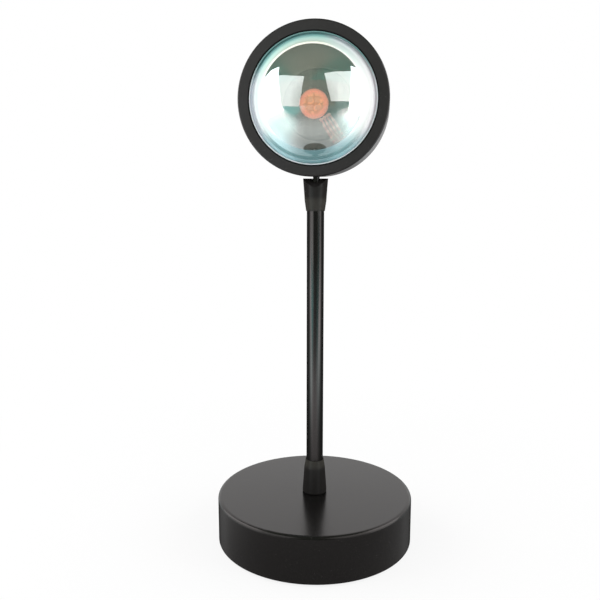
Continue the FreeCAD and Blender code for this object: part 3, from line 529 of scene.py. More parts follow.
def lacquer(name, s, quietAt=None, highlightAt=None):
    # black lacquer whose shine dies away towards its outline: a matt coat mixed with a glossy one, whose
    # share is times quiet where quietAt is 1; the tone is paler, as a painted highlight, where the mask
    # given by the last argument is 1
    f = Finish(name)
    x, y, z = f.axes()
    coat = lacquerLook
    cloud, tone = paintTone(f, s["colour"], coat["dust"])
    # painted highlight
    if highlightAt:
        tone = f.blendColour(highlightAt(f, z), tone, coat["highlightBandTone"])
    grain = f.noise(coat["grainScale"], 3)
    marks = f.noise(1.0, 3, 0.6, f.stretched(coat["drawnScale"]))
    normal = f.bump(grain * (1 - s["drawn"]) + marks * s["drawn"], s["peel"])
    matt = f.surface(colour=tone, roughness=coat["mattRoughness"], specular=0.0, normal=normal)
    rough = s["roughness"] + (cloud - 0.5) * coat["cloudDull"]
    shine = f.surface(colour=tone, roughness=rough, ior=s["ior"], normal=normal,
                      shineTint=s["shineTint"])
    share = f.ramp(f.facing(), [(place, (value, value, value)) for place, value in s["gloss"]])
    if quietAt:
        share = share * (1 - quietAt(f, z) * (1 - s["quiet"]))
    return f.finish(f.mixed(share, matt, shine))


baseLook = {
    "colour": (0.0046, 0.0043, 0.0041),
    "roughness": 0.22,
    "peel": 0.000006,
    "ior": 1.56,
    "shineTint": (1.0, 0.93, 0.91),
    "drawn": 0.0,                # share of marks drawn along z
    # glossy share, from facing the eye (0) to aslant (1)
    "gloss": [(0.0, 0.8), (0.45, 0.93), (0.68, 0.93), (0.80, 0.56), (0.90, 0.12), (1.0, 0.04)],
    "quiet": 0.50,               # what is left of it on the side wall
    "shoulderMm": (23.2, 24.1),  # heights where the side wall ends and the top starts
}
stemLook = {
    "colour": (0.0070, 0.0068, 0.0064),
    "roughness": 0.15,
    "peel": 0.000004,
    "ior": 2.2,
    "shineTint": (1.0, 0.92, 0.91),
    "drawn": 0.6,
    "gloss": [(0.0, 0.20), (0.015, 0.26), (0.05, 0.80), (0.085, 0.98), (0.125, 0.80), (0.195, 0.33),
              (0.267, 0.10), (0.36, 0.02), (1.0, 0.0)],
    "quiet": 0.46,            # what is left of it at the stem's two ends
    "lowEndMm": (48, 95),     # heights where the lower end passes into the middle
    "highEndMm": (120, 168),  # and the middle into the upper end
}
ferruleLook = {
    "colour": (0.0150, 0.0140, 0.0135),
    "roughness": 0.34,
    "peel": 0.000010,
    "ior": 1.5,
    "shineTint": (1.0, 1.0, 1.0),
    "drawn": 0.3,
    "gloss": [(0.0, 0.34), (0.12, 0.32), (0.20, 0.06), (0.30, 0.0), (1.0, 0.0)],
    "paintedHighlightBandsMm": ((37.0, 45.0), (168.0, 177.2)),  # heights of the painted highlight bands at the thin ends
    "bandEnd": 0.0030,        # length over which a band fades
    "bandScale": 420,
    "bandCloud": (0.5, 0.7),  # a band's least strength, and what its noise adds
}


def onSideWall(f, z):
    # 1 on the base's side wall, 0 on its top
    return 1 - f.step(z, *(v * mm for v in baseLook["shoulderMm"]))


def onStemEnds(f, z):
    # 1 at the stem's two ends, 0 between them
    high = f.step(z, *(v * mm for v in stemLook["highEndMm"]))
    return high + 1 - f.step(z, *(v * mm for v in stemLook["lowEndMm"]))


def onPaintedHighlightBands(f, z):
    # 1 between each painted highlight band's two heights, with soft ends and a cloudy strength
    s = ferruleLook
    total = 0
    for low, high in s["paintedHighlightBandsMm"]:
        start = f.step(z, low * mm, low * mm + s["bandEnd"])
        total = start * (1 - f.step(z, high * mm - s["bandEnd"], high * mm)) + total
    return total * varied(f.noise(s["bandScale"], 2), *s["bandCloud"])


aluminiumLook = {
    "colour": (0.74, 0.75, 0.76),
    "dimmed": 0.82,               # tone of the cloud's dark patches
    "lineShare": 0.35,
    "lineDimmed": 0.6,
    "lineScale": (60, 60, 5200),  # long along x and y, fine along z
    "lineDepth": 0.00001,
    "cloudScale": 120,
    "roughness": 0.26,
    "lineDull": 0.12,
    "cloudDull": 0.1,
}


def brushedMetal(name, s):
    # rolled or brushed metal: long scratches and a cloudy shine
    f = Finish(name)
    lines = f.noise(1.0, 4, 0.65, f.stretched(s["lineScale"]))
    cloud = f.noise(s["cloudScale"], 3)
    tone = f.blendColour(cloud, shade(s["colour"], s["dimmed"]), s["colour"])
    tone = f.blendColour(lines * s["lineShare"], tone, shade(s["colour"], s["lineDimmed"]))
    rough = s["roughness"] + lines * s["lineDull"] + (cloud - 0.5) * s["cloudDull"]
    return f.skin(lines, s["lineDepth"], colour=tone, metallic=1.0, roughness=rough)


zincLook = {
    "patchScale": 210,
    "tones": [(0.3, (0.47, 0.50, 0.56)), (0.55, (0.66, 0.66, 0.65)), (0.75, (0.70, 0.66, 0.55))],
    "crystalScale": 2400,
    "crystalHeight": 0.000006,
    "roughness": (0.24, 0.14, 0.08),  # least, and what the patches and the crystals add
}


def zincPlate(name, s):
    # bright zinc: bluish and straw patches, tiny crystals
    f = Finish(name)
    patch = f.noise(s["patchScale"], 4, 0.6)
    crystals = f.cells(s["crystalScale"])
    least, byPatch, byCrystal = s["roughness"]
    rough = least + patch * byPatch + crystals * byCrystal
    return f.skin(crystals, s["crystalHeight"], colour=f.ramp(patch, s["tones"]), metallic=1.0,
                  roughness=rough)


ironLook = {
    "sandScale": 1500,
    "sandTones": ((0.055, 0.055, 0.057), (0.15, 0.148, 0.145)),
    "lumpScale": 260,
    "rustScale": 90,
    "rustFrom": (0.55, 0.72),
    "rust": 0.5,
    "rustTone": (0.16, 0.075, 0.04),
    "metallic": 0.6,
    "roughness": (0.55, 0.25),  # least, and what the sand adds
    "sandShare": 0.6,           # of the height, and the rest is lumps
    "height": 0.00018,
}


def castIron(name, s):
    # rough casting: sandy bumps, dark hollows, a breath of rust
    f = Finish(name)
    sand = f.noise(s["sandScale"], 4, 0.7)
    lump = f.noise(s["lumpScale"], 3)
    rust = f.step(f.noise(s["rustScale"], 4, 0.6), *s["rustFrom"])
    tone = f.blendColour(rust * s["rust"], f.blendColour(sand, *s["sandTones"]), s["rustTone"])
    height = sand * s["sandShare"] + lump * (1 - s["sandShare"])
    return f.skin(height, s["height"], colour=tone, metallic=s["metallic"],
                  roughness=varied(sand, *s["roughness"]))


foamLook = {
    "poreScale": 1700,
    "poreEdge": (0.10, 0.42),
    "poreShare": 0.7,           # of the pits, and the rest are small pores
    "smallScale": 4200,
    "smallEdge": (0.1, 0.5),
    "tones": ((0.010, 0.010, 0.011), (0.036, 0.036, 0.037)),
    "bloomScale": 60,
    "bloom": 0.4,
    "bloomTone": (0.055, 0.054, 0.052),
    "roughness": (0.93, 0.06),  # most, and what the skin between the pores takes off
    "specular": 0.25,
    "depth": 0.00012,
}


def poreFoam(name, s):
    # closed-cell foam: a skin pitted with small round pores
    f = Finish(name)
    large = f.step(f.cells(s["poreScale"]), *s["poreEdge"])
    small = f.step(f.cells(s["smallScale"]), *s["smallEdge"])
    skin = large * s["poreShare"] + small * (1 - s["poreShare"])
    tone = f.blendColour(f.noise(s["bloomScale"], 3) * s["bloom"], f.blendColour(skin, *s["tones"]),
                         s["bloomTone"])
    most, bySkin = s["roughness"]
    return f.skin(skin, s["depth"], colour=tone, roughness=most - skin * bySkin, specular=s["specular"])


mouldedLook = {
    "cloudScale": 130,
    "sparkDull": 0.12,          # how much roughness changes with the grain
}


def moulded(name, colour, roughness, grainScale, grain, spread=0.25, **extra):
    # moulded plastic or rubber: a fine eroded texture, grain high, and a colour uneven by spread
    f = Finish(name)
    spark = f.noise(grainScale, 3, 0.6)
    cloud = f.noise(mouldedLook["cloudScale"], 2)
    tone = f.blendColour(cloud, shade(colour, 1 - spread), shade(colour, 1 + spread))
    rough = roughness + (spark - 0.5) * mouldedLook["sparkDull"]
    return f.skin(spark, grain, colour=tone, roughness=rough, **extra)


ribbonLook = {
    "slopeDegrees": -57.8,
    "highlightRung": 0.0011,    # a pale painted highlight comes, and goes, over this length each
    "highlightRungEdge": (0.0003, 0.0009),
    "highlightRungShare": 0.7,  # of the painted highlight's change, and the rest is noise
    "noiseScale": 1500,
    "shift": 1.0,      # the rungs are counted from this far outside the lamp
    "tones": ((0.56, 0.15, 0.16), (1.0, 0.66, 0.60)),
    "roughness": 0.34,
    # painted glow: the wire is no lamp
    "glow": 0.38,
    "grainScale": 2600,
    "grain": 0.00001,
}


def wireRibbon(name, s):
    # soft insulation with a pale painted highlight every few millimetres along the run, some random tone,
    # and a painted glow
    f = Finish(name)
    x, y, z = f.axes()
    slope = math.radians(s["slopeDegrees"])
    along = x * math.cos(slope) + z * math.sin(slope)
    highlightRung = f.step((along + s["shift"]).pingPong(s["highlightRung"]), *s["highlightRungEdge"])
    change = highlightRung * s["highlightRungShare"] + f.noise(s["noiseScale"], 2) * (1 - s["highlightRungShare"])
    tone = f.blendColour(change, *s["tones"])
    return f.skin(f.noise(s["grainScale"], 3), s["grain"], colour=tone, roughness=s["roughness"],
                  glow=tone, glowStrength=s["glow"])


boardLook = {
    "shift": 0.1,
    "regionScale": 170,
    "regionEdge": (0.46, 0.54),
    "trackEdge": (0.62, 0.7),   # in pitches
    "landPitches": 5,
    "landEdge": (0.16, 0.19),
    "cloudScale": 400,
    "cloud": 0.3,
    "dimmed": 0.7,
    "roughness": (0.32, 0.15),  # least, and what its noise adds
    "roughScale": 900,
    "coat": 0.35,
    "coatRoughness": 0.15,
    "trackHeight": 0.00003,
}


def boardFace(name, resist, copper, pitch, s):
    # solder resist over copper tracks: lines of two directions, with round lands
    f = Finish(name)
    x, y, z = f.axes()
    edge = [pitch * place for place in s["trackEdge"]]
    region = f.step(f.noise(s["regionScale"], 1), *s["regionEdge"])
    across = f.step((x + s["shift"]).pingPong(pitch), *edge)
    upward = f.step(z.pingPong(pitch), *edge)
    lands = 1 - f.step(f.cells(1 / (pitch * s["landPitches"])), *s["landEdge"])
    raised = (across * region + upward * (1 - region)).larger(lands)
    tone = f.blendColour(f.noise(s["cloudScale"], 3) * s["cloud"], f.blendColour(raised, resist, copper),
                         shade(resist, s["dimmed"]))
    return f.skin(raised, s["trackHeight"], colour=tone, coat=s["coat"], coatRoughness=s["coatRoughness"],
                  roughness=varied(f.noise(s["roughScale"], 2), *s["roughness"]))


lensLook = {
    "ior": 1.46,
    "clearTint": (0.80, 0.76, 0.68),
    "mirrorMiddle": 0.24,         # share of light the coating mirrors where it faces the eye
    "mirrorRises": ((0.015, 0.10, 0.17), (0.15, 1.0, 0.42)),  # facing from and to, and the rise
    "mirrorTones": [(0.0, (0.92, 0.96, 0.93)), (0.2, (0.90, 0.97, 0.95)), (0.38, (0.84, 0.96, 0.99)),
                    (1.0, (0.95, 0.94, 1.0))],
    "mirrorRoughness": (0.012, 0.02),  # least, and what the smears add
    "smearScale": 38,
    "waveScale": 25,
    "wave": 0.00001,
    # the rim band is painted light: its tones, glow and dark patches stand for mirrored light and shade
    "bandCentreMm": (0.6, -0.3),  # where the pale rim band is centred (x, up)
    "bandStartMm": (22.7, 23.3),  # from that centre
    "bandWidthMm": 6.6,
    "bandBack": (-0.0126, -0.0122),  # y where the band ends, at the glass's rim
    "bandShare": 0.92,
    "bandFootLess": 0.35,
    "bandRoughness": 0.30,
    "bandSpecular": 0.3,
    "bandPaintedGlow": 0.35,
    "streakScale": (500, 2600),   # round the rim and across the band
    "streakShift": 0.10,
    "streakDepth": 0.00002,
    # tones across the band, from its inner edge (0) to its outer one (1), all painted light: a painted
    # highlight at the inner edge, painted shade near the outer
    "sideTones": [(0.0, (1.0, 1.0, 0.94)), (0.22, (0.60, 0.71, 0.67)), (0.46, (0.52, 0.62, 0.59)),
                  (0.62, (0.68, 0.75, 0.75)), (0.76, (0.36, 0.40, 0.42)), (0.88, (0.30, 0.33, 0.35)),
                  (0.96, (0.60, 0.64, 0.68))],
    "crownTones": [(0.0, (1.0, 1.0, 0.90)), (0.15, (0.98, 1.0, 0.88)), (0.22, (0.47, 0.57, 0.49)),
                   (0.42, (0.51, 0.70, 0.63)), (0.57, (0.43, 0.69, 0.62)), (0.70, (0.26, 0.50, 0.46)),
                   (0.87, (0.16, 0.35, 0.34)), (1.0, (0.12, 0.28, 0.27))],
    "footTones": [(0.0, (0.40, 0.60, 0.66)), (0.3, (0.28, 0.50, 0.53)), (0.66, (0.23, 0.47, 0.49)),
                  (0.80, (0.42, 0.68, 0.71)), (0.95, (0.50, 0.74, 0.78))],
    "crownUp": (0.006, 0.017),    # above the axis, where the crown's tones start and are full
    "crownSide": (0.003, 0.013),  # x over which they end
    "footDown": (0.012, 0.022),
    # the foot's dark middle is a painted reflection of the base
    "footPaintedBaseReflection": (0.0005, 0.75, (0.14, 0.29, 0.31)),  # x, share and tone of the foot's middle
    "footDarkSpread": (0.000012, 0.00014),  # of its distance squared
    "pinkSide": (0.014, 0.027),
    "pink": 0.45,
    "pinkTone": (0.80, 0.72, 0.72),
    "speckScale": 820,
    "speckFrom": (0.60, 0.68),
    "speckPlace": (0.45, 0.75),
    "speck": 0.55,
    "speckTone": (0.62, 0.42, 0.52),
}


def coatedGlass(name, s):
    # clear glass with an interference coating: neutral where it faces the eye, bluer when aslant, and a
    # pale band round the rim whose tones are painted light: a painted highlight along its inner edge,
    # painted shade towards its outer edge and over the top, a painted reflection of the base at the middle
    # of the foot, and a faint painted glow
    f = Finish(name)
    x, y, z = f.axes()
    facing = f.facing()
    mirror = f.surface(colour=f.ramp(facing, s["mirrorTones"]), metallic=1.0,
                       roughness=varied(f.noise(s["smearScale"], 4, 0.6), *s["mirrorRoughness"]),
                       normal=f.bump(f.noise(s["waveScale"], 1), s["wave"]))
    clear = f.surface(colour=s["clearTint"], transmission=1.0, ior=s["ior"], roughness=0.0)
    share = s["mirrorMiddle"]
    for low, high, rise in s["mirrorRises"]:
        share = share + f.step(facing, low, high) * rise
    coated = f.mixed(share, clear, mirror)

    level = z - headAxis
    centreX, centreZ = s["bandCentreMm"]
    start, full = s["bandStartMm"]
    out = fromAxis(x - centreX * mm, level - centreZ * mm)
    along, crossing = s["streakScale"]
    streak = f.noise(1.0, 3, 0.6, f.vector(x * along, level * along, out * crossing))
    place = (out - start * mm) / (s["bandWidthMm"] * mm) + (streak - 0.5) * s["streakShift"]
    crown = f.step(level, *s["crownUp"]) * (1 - f.step(x, *s["crownSide"]))
    foot = f.step(0 - level, *s["footDown"])
    tone = f.blendColour(crown, f.ramp(place, s["sideTones"]), f.ramp(place, s["crownTones"]))
    tone = f.blendColour(foot, tone, f.ramp(place, s["footTones"]))
    middle, dark, baseReflectionTone = s["footPaintedBaseReflection"]
    nearMiddle = 1 - f.step((x - middle) ** 2, *s["footDarkSpread"])
    tone = f.blendColour(foot * nearMiddle * dark, tone, baseReflectionTone)
    tone = f.blendColour(f.step(x, *s["pinkSide"]) * s["pink"], tone, s["pinkTone"])
    specks = f.step(f.noise(s["speckScale"], 3, 0.7), *s["speckFrom"]) * f.step(place, *s["speckPlace"])
    tone = f.blendColour(specks * s["speck"], tone, s["speckTone"])
    # the band's surface: painted highlight, shade and reflection in its tones, and a painted glow
    paintedRimLight = f.surface(colour=tone, roughness=s["bandRoughness"], specular=s["bandSpecular"], glow=tone,
                      glowStrength=s["bandPaintedGlow"], normal=f.bump(streak, s["streakDepth"]))
    band = (f.step(out, start * mm, full * mm) * (1 - f.step(y, *s["bandBack"]))
            * (s["bandShare"] - foot * s["bandFootLess"]))
    return f.finish(f.mixed(band, coated, paintedRimLight))


trimLook = {
    "patchScale": 420,
    "tones": [(0.3, (0.60, 0.72, 0.74)), (0.5, (0.80, 0.86, 0.88)), (0.7, (0.78, 0.74, 0.82))],
    "crownUp": (0.004, 0.020),  # above the axis, where the painted shade starts and is full
    "topPaintedShadeTone": (0.19, 0.37, 0.36),
    "metallic": 0.15,
    "roughness": (0.25, 0.12),  # least, and what the patches add
    "markScale": 9000,
    "markStray": (120, 2),      # scale of the noise that bends the marks, and its strength
    "markDepth": 0.000008,
}


def pearlTrim(name, s):
    # thin plated sleeve: pale pearl with a teal cast, with painted shade at the top, marks drawn round it
    f = Finish(name)
    x, y, z = f.axes()
    level = z - headAxis
    out = fromAxis(x, level)
    scale, bend = s["markStray"]
    stray = f.noise(scale, 1) * bend
    marks = f.noise(1.0, 3, 0.6, f.vector(out * s["markScale"], y * s["markScale"], stray))
    patch = f.noise(s["patchScale"], 3, 0.6)
    tone = f.blendColour(f.step(level, *s["crownUp"]), f.ramp(patch, s["tones"]), s["topPaintedShadeTone"])
    return f.skin(marks, s["markDepth"], colour=tone, metallic=s["metallic"],
                  roughness=varied(patch, *s["roughness"]))


phosphorLook = {
    "aside": 0.001,                 # how far the source stands off the axis
    "grainScale": 5200,
    "tones": ((0.94, 0.27, 0.17), (1.0, 0.36, 0.24)),
    "middleEnd": (0.0020, 0.0038),  # radius where the thick middle starts to end, and ends
    "middle": (0.75, (1.0, 0.46, 0.20)),  # share and tone
    "seamScale": 620,
    "seamWarpScale": 700,
    "seamWarp": 0.25,
    "seamEdge": (0.05, 0.24),
    "seam": (0.75, (0.48, 0.15, 0.06)),
    "rimStart": (0.0036, 0.0042),
    "rim": (0.7, (0.66, 0.22, 0.15)),
    "roughness": 0.42,
    "specular": 0.3,
    "glow": 1.15,
    "grainHeight": 0.00002,
}


def peachPhosphor(name, s):
    # silicone with phosphor grains over the light source, paler where its middle is thick,
    # with darker seams between the middle's segments
    f = Finish(name)
    x, y, z = f.axes()
    out = fromAxis(x + s["aside"], z - headAxis)
    grains = f.noise(s["grainScale"], 3, 0.7)
    middle = 1 - f.step(out, *s["middleEnd"])
    warp = (f.noise(s["seamWarpScale"], 2) - 0.5) * s["seamWarp"]
    seam = 1 - f.step(f.cells(s["seamScale"], "DISTANCE_TO_EDGE") + warp, *s["seamEdge"])
    tone = f.blendColour(grains, *s["tones"])
    for mask, (share, other) in ((middle, s["middle"]), (middle * seam, s["seam"]),
                                 (f.step(out, *s["rimStart"]), s["rim"])):
        tone = f.blendColour(mask * share, tone, other)
    return f.skin(grains, s["grainHeight"], colour=tone, roughness=s["roughness"],
                  specular=s["specular"], glow=tone, glowStrength=s["glow"])


chipLook = {
    "shift": 0.1,
    "fingerWidth": 0.00018,
    "fingerEdge": (0.00011, 0.00014),
    "tones": ((0.80, 0.31, 0.16), (1.0, 0.52, 0.30)),
    "metallic": 0.3,
    "roughness": (0.3, 0.1),  # least, and what its noise adds
    "roughScale": 3000,
    "glow": 0.9,
    "fingerHeight": 0.00001,
}


def goldChip(name, s):
    # a die with fine gold fingers
    f = Finish(name)
    x, y, z = f.axes()
    fingers = f.step((x + s["shift"]).pingPong(s["fingerWidth"]), *s["fingerEdge"])
    tone = f.blendColour(fingers, *s["tones"])
    return f.skin(fingers, s["fingerHeight"], colour=tone, metallic=s["metallic"],
                  roughness=varied(f.noise(s["roughScale"]), *s["roughness"]),
                  glow=tone, glowStrength=s["glow"])


# moulded finishes: colour, roughness, scale and height of the grain, then what differs from plain
finishes = {
    "black_paint": lacquer("blackSteel", baseLook, quietAt=onSideWall),
    "black_aluminium": satinPaint("satinBlackHead", satinLook),
    "zinc_steel": zincPlate("brightZinc", zincLook),
    "cast_iron": castIron("sandCastIron", ironLook),
    "foot_foam": poreFoam("blackFoam", foamLook),
    "black_rubber": moulded("blackRubber", (0.022, 0.022, 0.022), 0.72, 2600, 0.00002),
    "silicone": moulded("clearSilicone", (0.72, 0.73, 0.72), 0.45, 1500, 0.000008, spread=0.06,
                        subsurface=0.25, scatter=0.002),
    "lens_glass": coatedGlass("coatedLens", lensLook),
    "bright_trim": pearlTrim("pearlTrim", trimLook),
    "black_plastic": moulded("blackPlastic", (0.022, 0.022, 0.022), 0.48, 3000, 0.00001),
    "white_plastic": moulded("whiteNylon", (0.80, 0.79, 0.74), 0.42, 1400, 0.000008, spread=0.05),
    "bare_aluminium": brushedMetal("brushedAluminium", aluminiumLook),
    "circuit_board": boardFace("greenBoard", (0.012, 0.10, 0.045), (0.045, 0.24, 0.11), 0.0007, boardLook),
    "led_board_face": boardFace("tealBoard", (0.06, 0.12, 0.125), (0.11, 0.20, 0.205), 0.0011, boardLook),
    "component_body": moulded("epoxyParts", (0.03, 0.03, 0.032), 0.5, 3600, 0.00001),
    "phosphor": peachPhosphor("peachPhosphor", phosphorLook),
    "led_chip": goldChip("goldChips", chipLook),
    "receiver_epoxy": moulded("darkEpoxy", (0.10, 0.035, 0.05), 0.14, 500, 0.000004, spread=0.2, coat=0.5),
    "pink_insulation": wireRibbon("pinkWire", ribbonLook),
    "black_insulation": moulded("blackWire", (0.02, 0.02, 0.02), 0.42, 2600, 0.00001),
    "thermal_silicone": moulded("greyPad", (0.42, 0.44, 0.47), 0.75, 2600, 0.00002),
}

# nodes that differ from the rest of their material slot
stemLacquer = lacquer("stemLacquer", stemLook, quietAt=onStemEnds)
ferruleLacquer = lacquer("ferruleLacquer", ferruleLook, highlightAt=onPaintedHighlightBands)
ownFinish = {
    "stem_tube": stemLacquer,
    "upper_ferrule": ferruleLacquer,
    "lower_ferrule": ferruleLacquer,
    "led_board_screws": moulded("darkenedScrews", (0.07, 0.075, 0.08), 0.35, 900, 0.00001, spread=0.1,
                                metallic=1.0),
    # the holder's glow is painted light, brightening what is seen through the glass
    "lens_holder": moulded("holderPaintedGlow", (0.10, 0.19, 0.19), 0.45, 1600, 0.00001, spread=0.15,
                           glow=(0.30, 0.50, 0.52), glowStrength=0.04),
}


def dressNodes():
    # every CAD node takes the finish of its own material slot, or its own finish
    for name, piece in nodes.items():
        for place in piece.material_slots:
            place.material = ownFinish.get(name) or finishes[place.material.name]


dressNodes()
print("finishes given to", len(nodes), "nodes")

sharpDegrees = 35
mergeWithin = 1e-7


def meshPiece(name, points, faces, slot, body, finish=None):
    # points and faces as arrays; the object stays at the origin
    mesh = bpy.data.meshes.new(name)
    mesh.from_pydata(points.reshape(-1, 3).tolist(), [], [tuple(face) for face in faces.tolist()])
    mesh.polygons.foreach_set("use_smooth", np.full(len(mesh.polygons), True))
    mesh.materials.append(finish or finishes[slot])
    mesh.validate()
    mesh.update()
    mesh.set_sharp_from_angle(angle=math.radians(sharpDegrees))
    piece = addObject(name, mesh)
    if body:
        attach(piece, body)
    closePoles(piece)
    return piece


def closePoles(piece):
    # rings that have shrunk to a point become one vertex, and faces point outwards
    work = bmesh.new()
    work.from_mesh(piece.data)
    bmesh.ops.remove_doubles(work, verts=work.verts, dist=mergeWithin)
    bmesh.ops.recalc_face_normals(work, faces=work.faces)
    work.to_mesh(piece.data)
    work.free()
    piece.data.update()


def gridFaces(rows, around, first=0):
    # quads between the rows of a grid of points, each row a closed ring
    r = np.arange(rows - 1)[:, None]
    c = np.arange(around)[None, :]
    c2 = (c + 1) % around
    corners = [r * around + c, (r + 1) * around + c, (r + 1) * around + c2, r * around + c2]
    return first + np.stack(np.broadcast_arrays(*corners), -1).reshape(-1, 4)


lensSet = {
    "edgeRadiusMm": 28.9,  # where the dome meets its flat rim
    "domeHeightMm": 21.95,
    "rimRadiusMm": 30.6,
    "rimFrontMm": -12.6,   # along y
    "backMm": -11.4,
    "rimBevelMm": 0.2,
    "segments": 240,
    "domeRings": 84,
    "backRings": 20,
    "sharpDegrees": 30,    # edges between faces that meet at more stay sharp
}


def makeLens(s):
    # a spherical cap, a narrow flat rim and a flat back: the closed profile of (r, y), its arc being
    # centre + radius (sin a, -cos a), is turned about the drum's axis, x = r sin t, z = axis + r cos t
    width, height = s["edgeRadiusMm"], s["domeHeightMm"]
    radius = (width ** 2 + height ** 2) / (2 * height)
    centre = s["rimFrontMm"] - height + radius
    a = np.linspace(0, math.acos((radius - height) / radius), s["domeRings"])
    rim, front, back, bevel = s["rimRadiusMm"], s["rimFrontMm"], s["backMm"], s["rimBevelMm"]
    edge = [(rim - bevel, front), (rim, front + bevel), (rim, back - bevel), (rim - bevel, back)]
    flat = [(r, back) for r in np.linspace(rim - bevel, 0, s["backRings"])[1:]]
    dome = np.stack([radius * np.sin(a), centre - radius * np.cos(a)], -1)
    r, y = np.concatenate([dome, edge, flat]).T[:, :, None] * mm
    t = np.linspace(0, 2 * math.pi, s["segments"], endpoint=False)
    points = np.stack(np.broadcast_arrays(r * np.sin(t), y, headAxis + r * np.cos(t)), -1)
    lens = meshPiece("lensDome", points, gridFaces(*points.shape[:2]), "lens_glass", "head")
    lens.data.set_sharp_from_angle(angle=math.radians(s["sharpDegrees"]))
    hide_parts("dome_lens")


makeLens(lensSet)
print("lens made")


def tubes(name, paths, radii, slot, body, sideways, around=14):
    # round tubes along paths of points (paths x points x 3, metres), radii one per point:
    # surface = point + radius (across cos u + over sin u), closed by a point at each end;
    # across is square to the run and to sideways
    paths = np.asarray(paths, float)
    paths = np.concatenate([paths[:, :1], paths, paths[:, -1:]], 1)
    radii = np.concatenate([[0.0], np.broadcast_to(radii, paths.shape[1] - 2), [0.0]])
    run = np.gradient(paths[:, 1:-1], axis=1)
    run = np.concatenate([run[:, :1], run, run[:, -1:]], 1)
    run /= np.linalg.norm(run, axis=-1, keepdims=True)
    across = np.cross(run, sideways)
    across /= np.linalg.norm(across, axis=-1, keepdims=True)
    over = np.cross(across, run)
    u = np.linspace(0, 2 * math.pi, around, endpoint=False)[:, None]
    ring = across[:, :, None] * np.cos(u) + over[:, :, None] * np.sin(u)
    points = paths[:, :, None] + ring * radii[:, None, None]
    count, rows = points.shape[:2]
    faces = np.concatenate([gridFaces(rows, around, index * rows * around) for index in range(count)])
    return meshPiece(name, points, faces, slot, body)


wireSet = {
    "slopeDegrees": -57.8,
    "sideways": (0.0171, 0.9712, 0.2377),  # never along a wire
    "boardMm": -1.7,        # y of the light board's face
    "startMm": 4.3,         # from the drum's axis
    "endMm": 7.0,
    "rows": 26,
    "count": 4,
    "pitchMm": 1.1,
    "fan": 0.18,            # share of the pitch that they are closer by at their start
    "strayMm": 0.10,
    "strayTurn": (9, 2.1),  # radians along a wire, and from wire to wire
    "thickMm": 0.34,        # radius
    "beadMm": 0.28,         # what the solder adds to it
    "beadAt": 0.10,         # the bead's place and half length, as shares of the wire's
    "clearMm": 0.08,        # from the board at the start
    "riseMm": 0.10,         # how much farther from it the wire ends
    "laceFromMm": 10.6,
    "laceToMm": 17.2,
    "laceHalfMm": 2.2,
    "laceTurns": 4.5,
    "laceRows": 220,
    "laceAround": 8,
    "laceThickMm": 0.16,    # radius
    "laceMm": -2.82,        # y of the lacing where it crosses the wires
    "laceDipMm": 0.42,      # how much nearer to the board it is beside them
}


def makeWireDetails(s):
    # along and aside are measured from the drum's axis: x = along cos a - aside sin a,
    # z = axis + along sin a + aside cos a
    slope = math.radians(s["slopeDegrees"])

    def onBoard(along, aside, y):
        x = along * math.cos(slope) - aside * math.sin(slope)
        z = along * math.sin(slope) + aside * math.cos(slope)
        return np.stack(np.broadcast_arrays(x * mm, y * mm, z * mm + headAxis), -1)

    # each wire spreads to its lane, strays a little and has a bead of solder near its start
    t = np.linspace(0, 1, s["rows"])
    lane = (np.arange(s["count"]) - (s["count"] - 1) / 2)[:, None]
    along = s["startMm"] + (s["endMm"] - s["startMm"]) * t
    alongWire, wireToWire = s["strayTurn"]
    stray = s["strayMm"] * np.sin(alongWire * t + lane * wireToWire) * (1 - t)
    aside = lane * s["pitchMm"] * (1 - s["fan"] + s["fan"] * t) + stray
    thick = s["thickMm"] + s["beadMm"] * np.exp(-((t - s["beadAt"]) / s["beadAt"]) ** 2)
    lift = s["boardMm"] - s["thickMm"] - s["clearMm"] - s["riseMm"] * t
    tubes("wireEnds", onBoard(along, aside, lift), thick * mm, "pink_insulation", "head", s["sideways"])

    # the lacing swings from side to side, and dips at each turn
    t = np.linspace(0, 1, s["laceRows"])
    swing = 2 * math.pi * s["laceTurns"] * t
    along = s["laceFromMm"] + (s["laceToMm"] - s["laceFromMm"]) * t
    aside = s["laceHalfMm"] * np.sin(swing)
    lift = s["laceMm"] + s["laceDipMm"] * np.sin(swing) ** 8
    tubes("wireLacing", onBoard(along, aside, lift)[None], s["laceThickMm"] * mm, "white_plastic",
          "head", s["sideways"], s["laceAround"])


makeWireDetails(wireSet)

leadSet = {
    # (y, z) of the lead from the stem's top past the pivot into the drum
    "routeMm": [(0.0, 171.9), (0.0, 173.2), (1.0, 174.2), (4.0, 174.9), (6.6, 176.4), (7.9, 179.1),
                (8.5, 182.0), (8.6, 184.6), (8.6, 187.0)],
    "coreMm": 0.55,  # radius
    "pitchMm": 1.3,  # between the cores' centres
    "rows": 60,
    "softRows": 9,   # rows that each point is averaged over
}


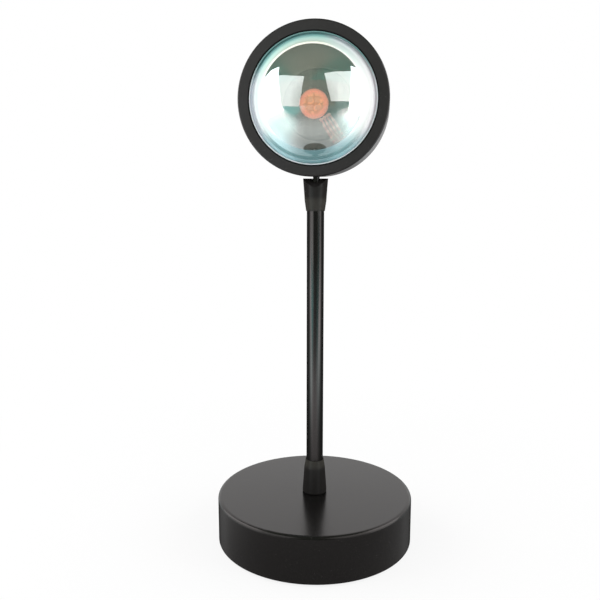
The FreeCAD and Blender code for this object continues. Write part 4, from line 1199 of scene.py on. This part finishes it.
def makeLeadBridge(s):
    # two cores through the swivel: points by chord length along the route, then a moving average
    route = np.array(s["routeMm"]) * mm
    length = np.concatenate([[0], np.cumsum(np.linalg.norm(np.diff(route, axis=0), axis=1))])
    at = np.linspace(0, length[-1], s["rows"])
    y, z = (np.interp(at, length, route[:, k]) for k in (0, 1))
    soft = np.hanning(s["softRows"]) / np.hanning(s["softRows"]).sum()
    y, z = (np.convolve(np.pad(v, s["softRows"] // 2, mode="edge"), soft, mode="valid") for v in (y, z))
    x = np.array([-0.5, 0.5])[:, None] * s["pitchMm"] * mm
    paths = np.stack(np.broadcast_arrays(x, y, z), -1)
    lead = tubes("leadBridge", paths, s["coreMm"] * mm, "black_insulation", None, (1.0, 0.0, 0.0))
    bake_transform(lead)


makeLeadBridge(leadSet)
print("wire details made")

capSet = {
    "pivotMm": 179.1,
    # the ferrule's radius is fork at forkHeight and narrows by taper per millimetre below
    "forkMm": 6.1,
    "forkHeightMm": 185.2,
    "taper": 0.8 / 10.8,
    "sunkMm": 0.03,
    "leastMm": 0.05,  # thickness
    "around": 96,
    "rings": 14,
    # side: inner face from the axis, apothem, number of corners (0 is round)
    "leftMm": (5.01, 2.66, 0),
    "rightMm": (4.62, 2.82, 6),
}


def makePivotCap(name, sign, side, s):
    # a cover flush with the tapered ferrule: with y = q cos p and z = pivot + q sin p, its face is
    # x = sqrt(R(z)^2 - y^2), and its outline q = apothem / cos(distance in p from a flat's middle)
    inner, apothem, corners = side
    p = np.linspace(0, 2 * math.pi, s["around"], endpoint=False)
    outline = np.full_like(p, apothem)
    if corners:
        sector = 2 * math.pi / corners
        outline = apothem / np.cos((p + sector / 2) % sector - sector / 2)
    q = np.linspace(0, 1, s["rings"])[:, None] * outline
    y, z = q * np.cos(p), q * np.sin(p) + s["pivotMm"]
    around = s["forkMm"] - (s["forkHeightMm"] - z) * s["taper"]
    face = np.maximum(np.sqrt(around ** 2 - y ** 2) - s["sunkMm"], inner + s["leastMm"])
    outer = np.stack([face * sign, y, z], -1)
    back = np.stack(np.broadcast_arrays(inner * sign, y[[-1, 0]], z[[-1, 0]]), -1)
    points = np.concatenate([outer, back]) * mm
    meshPiece(name, points, gridFaces(*points.shape[:2]), "black_plastic", "neck", ferruleLacquer)


makePivotCap("pivotCapLeft", -1, capSet["leftMm"], capSet)
makePivotCap("pivotCapRight", 1, capSet["rightMm"], capSet)
print("pivot caps made")

print("pieces ready")
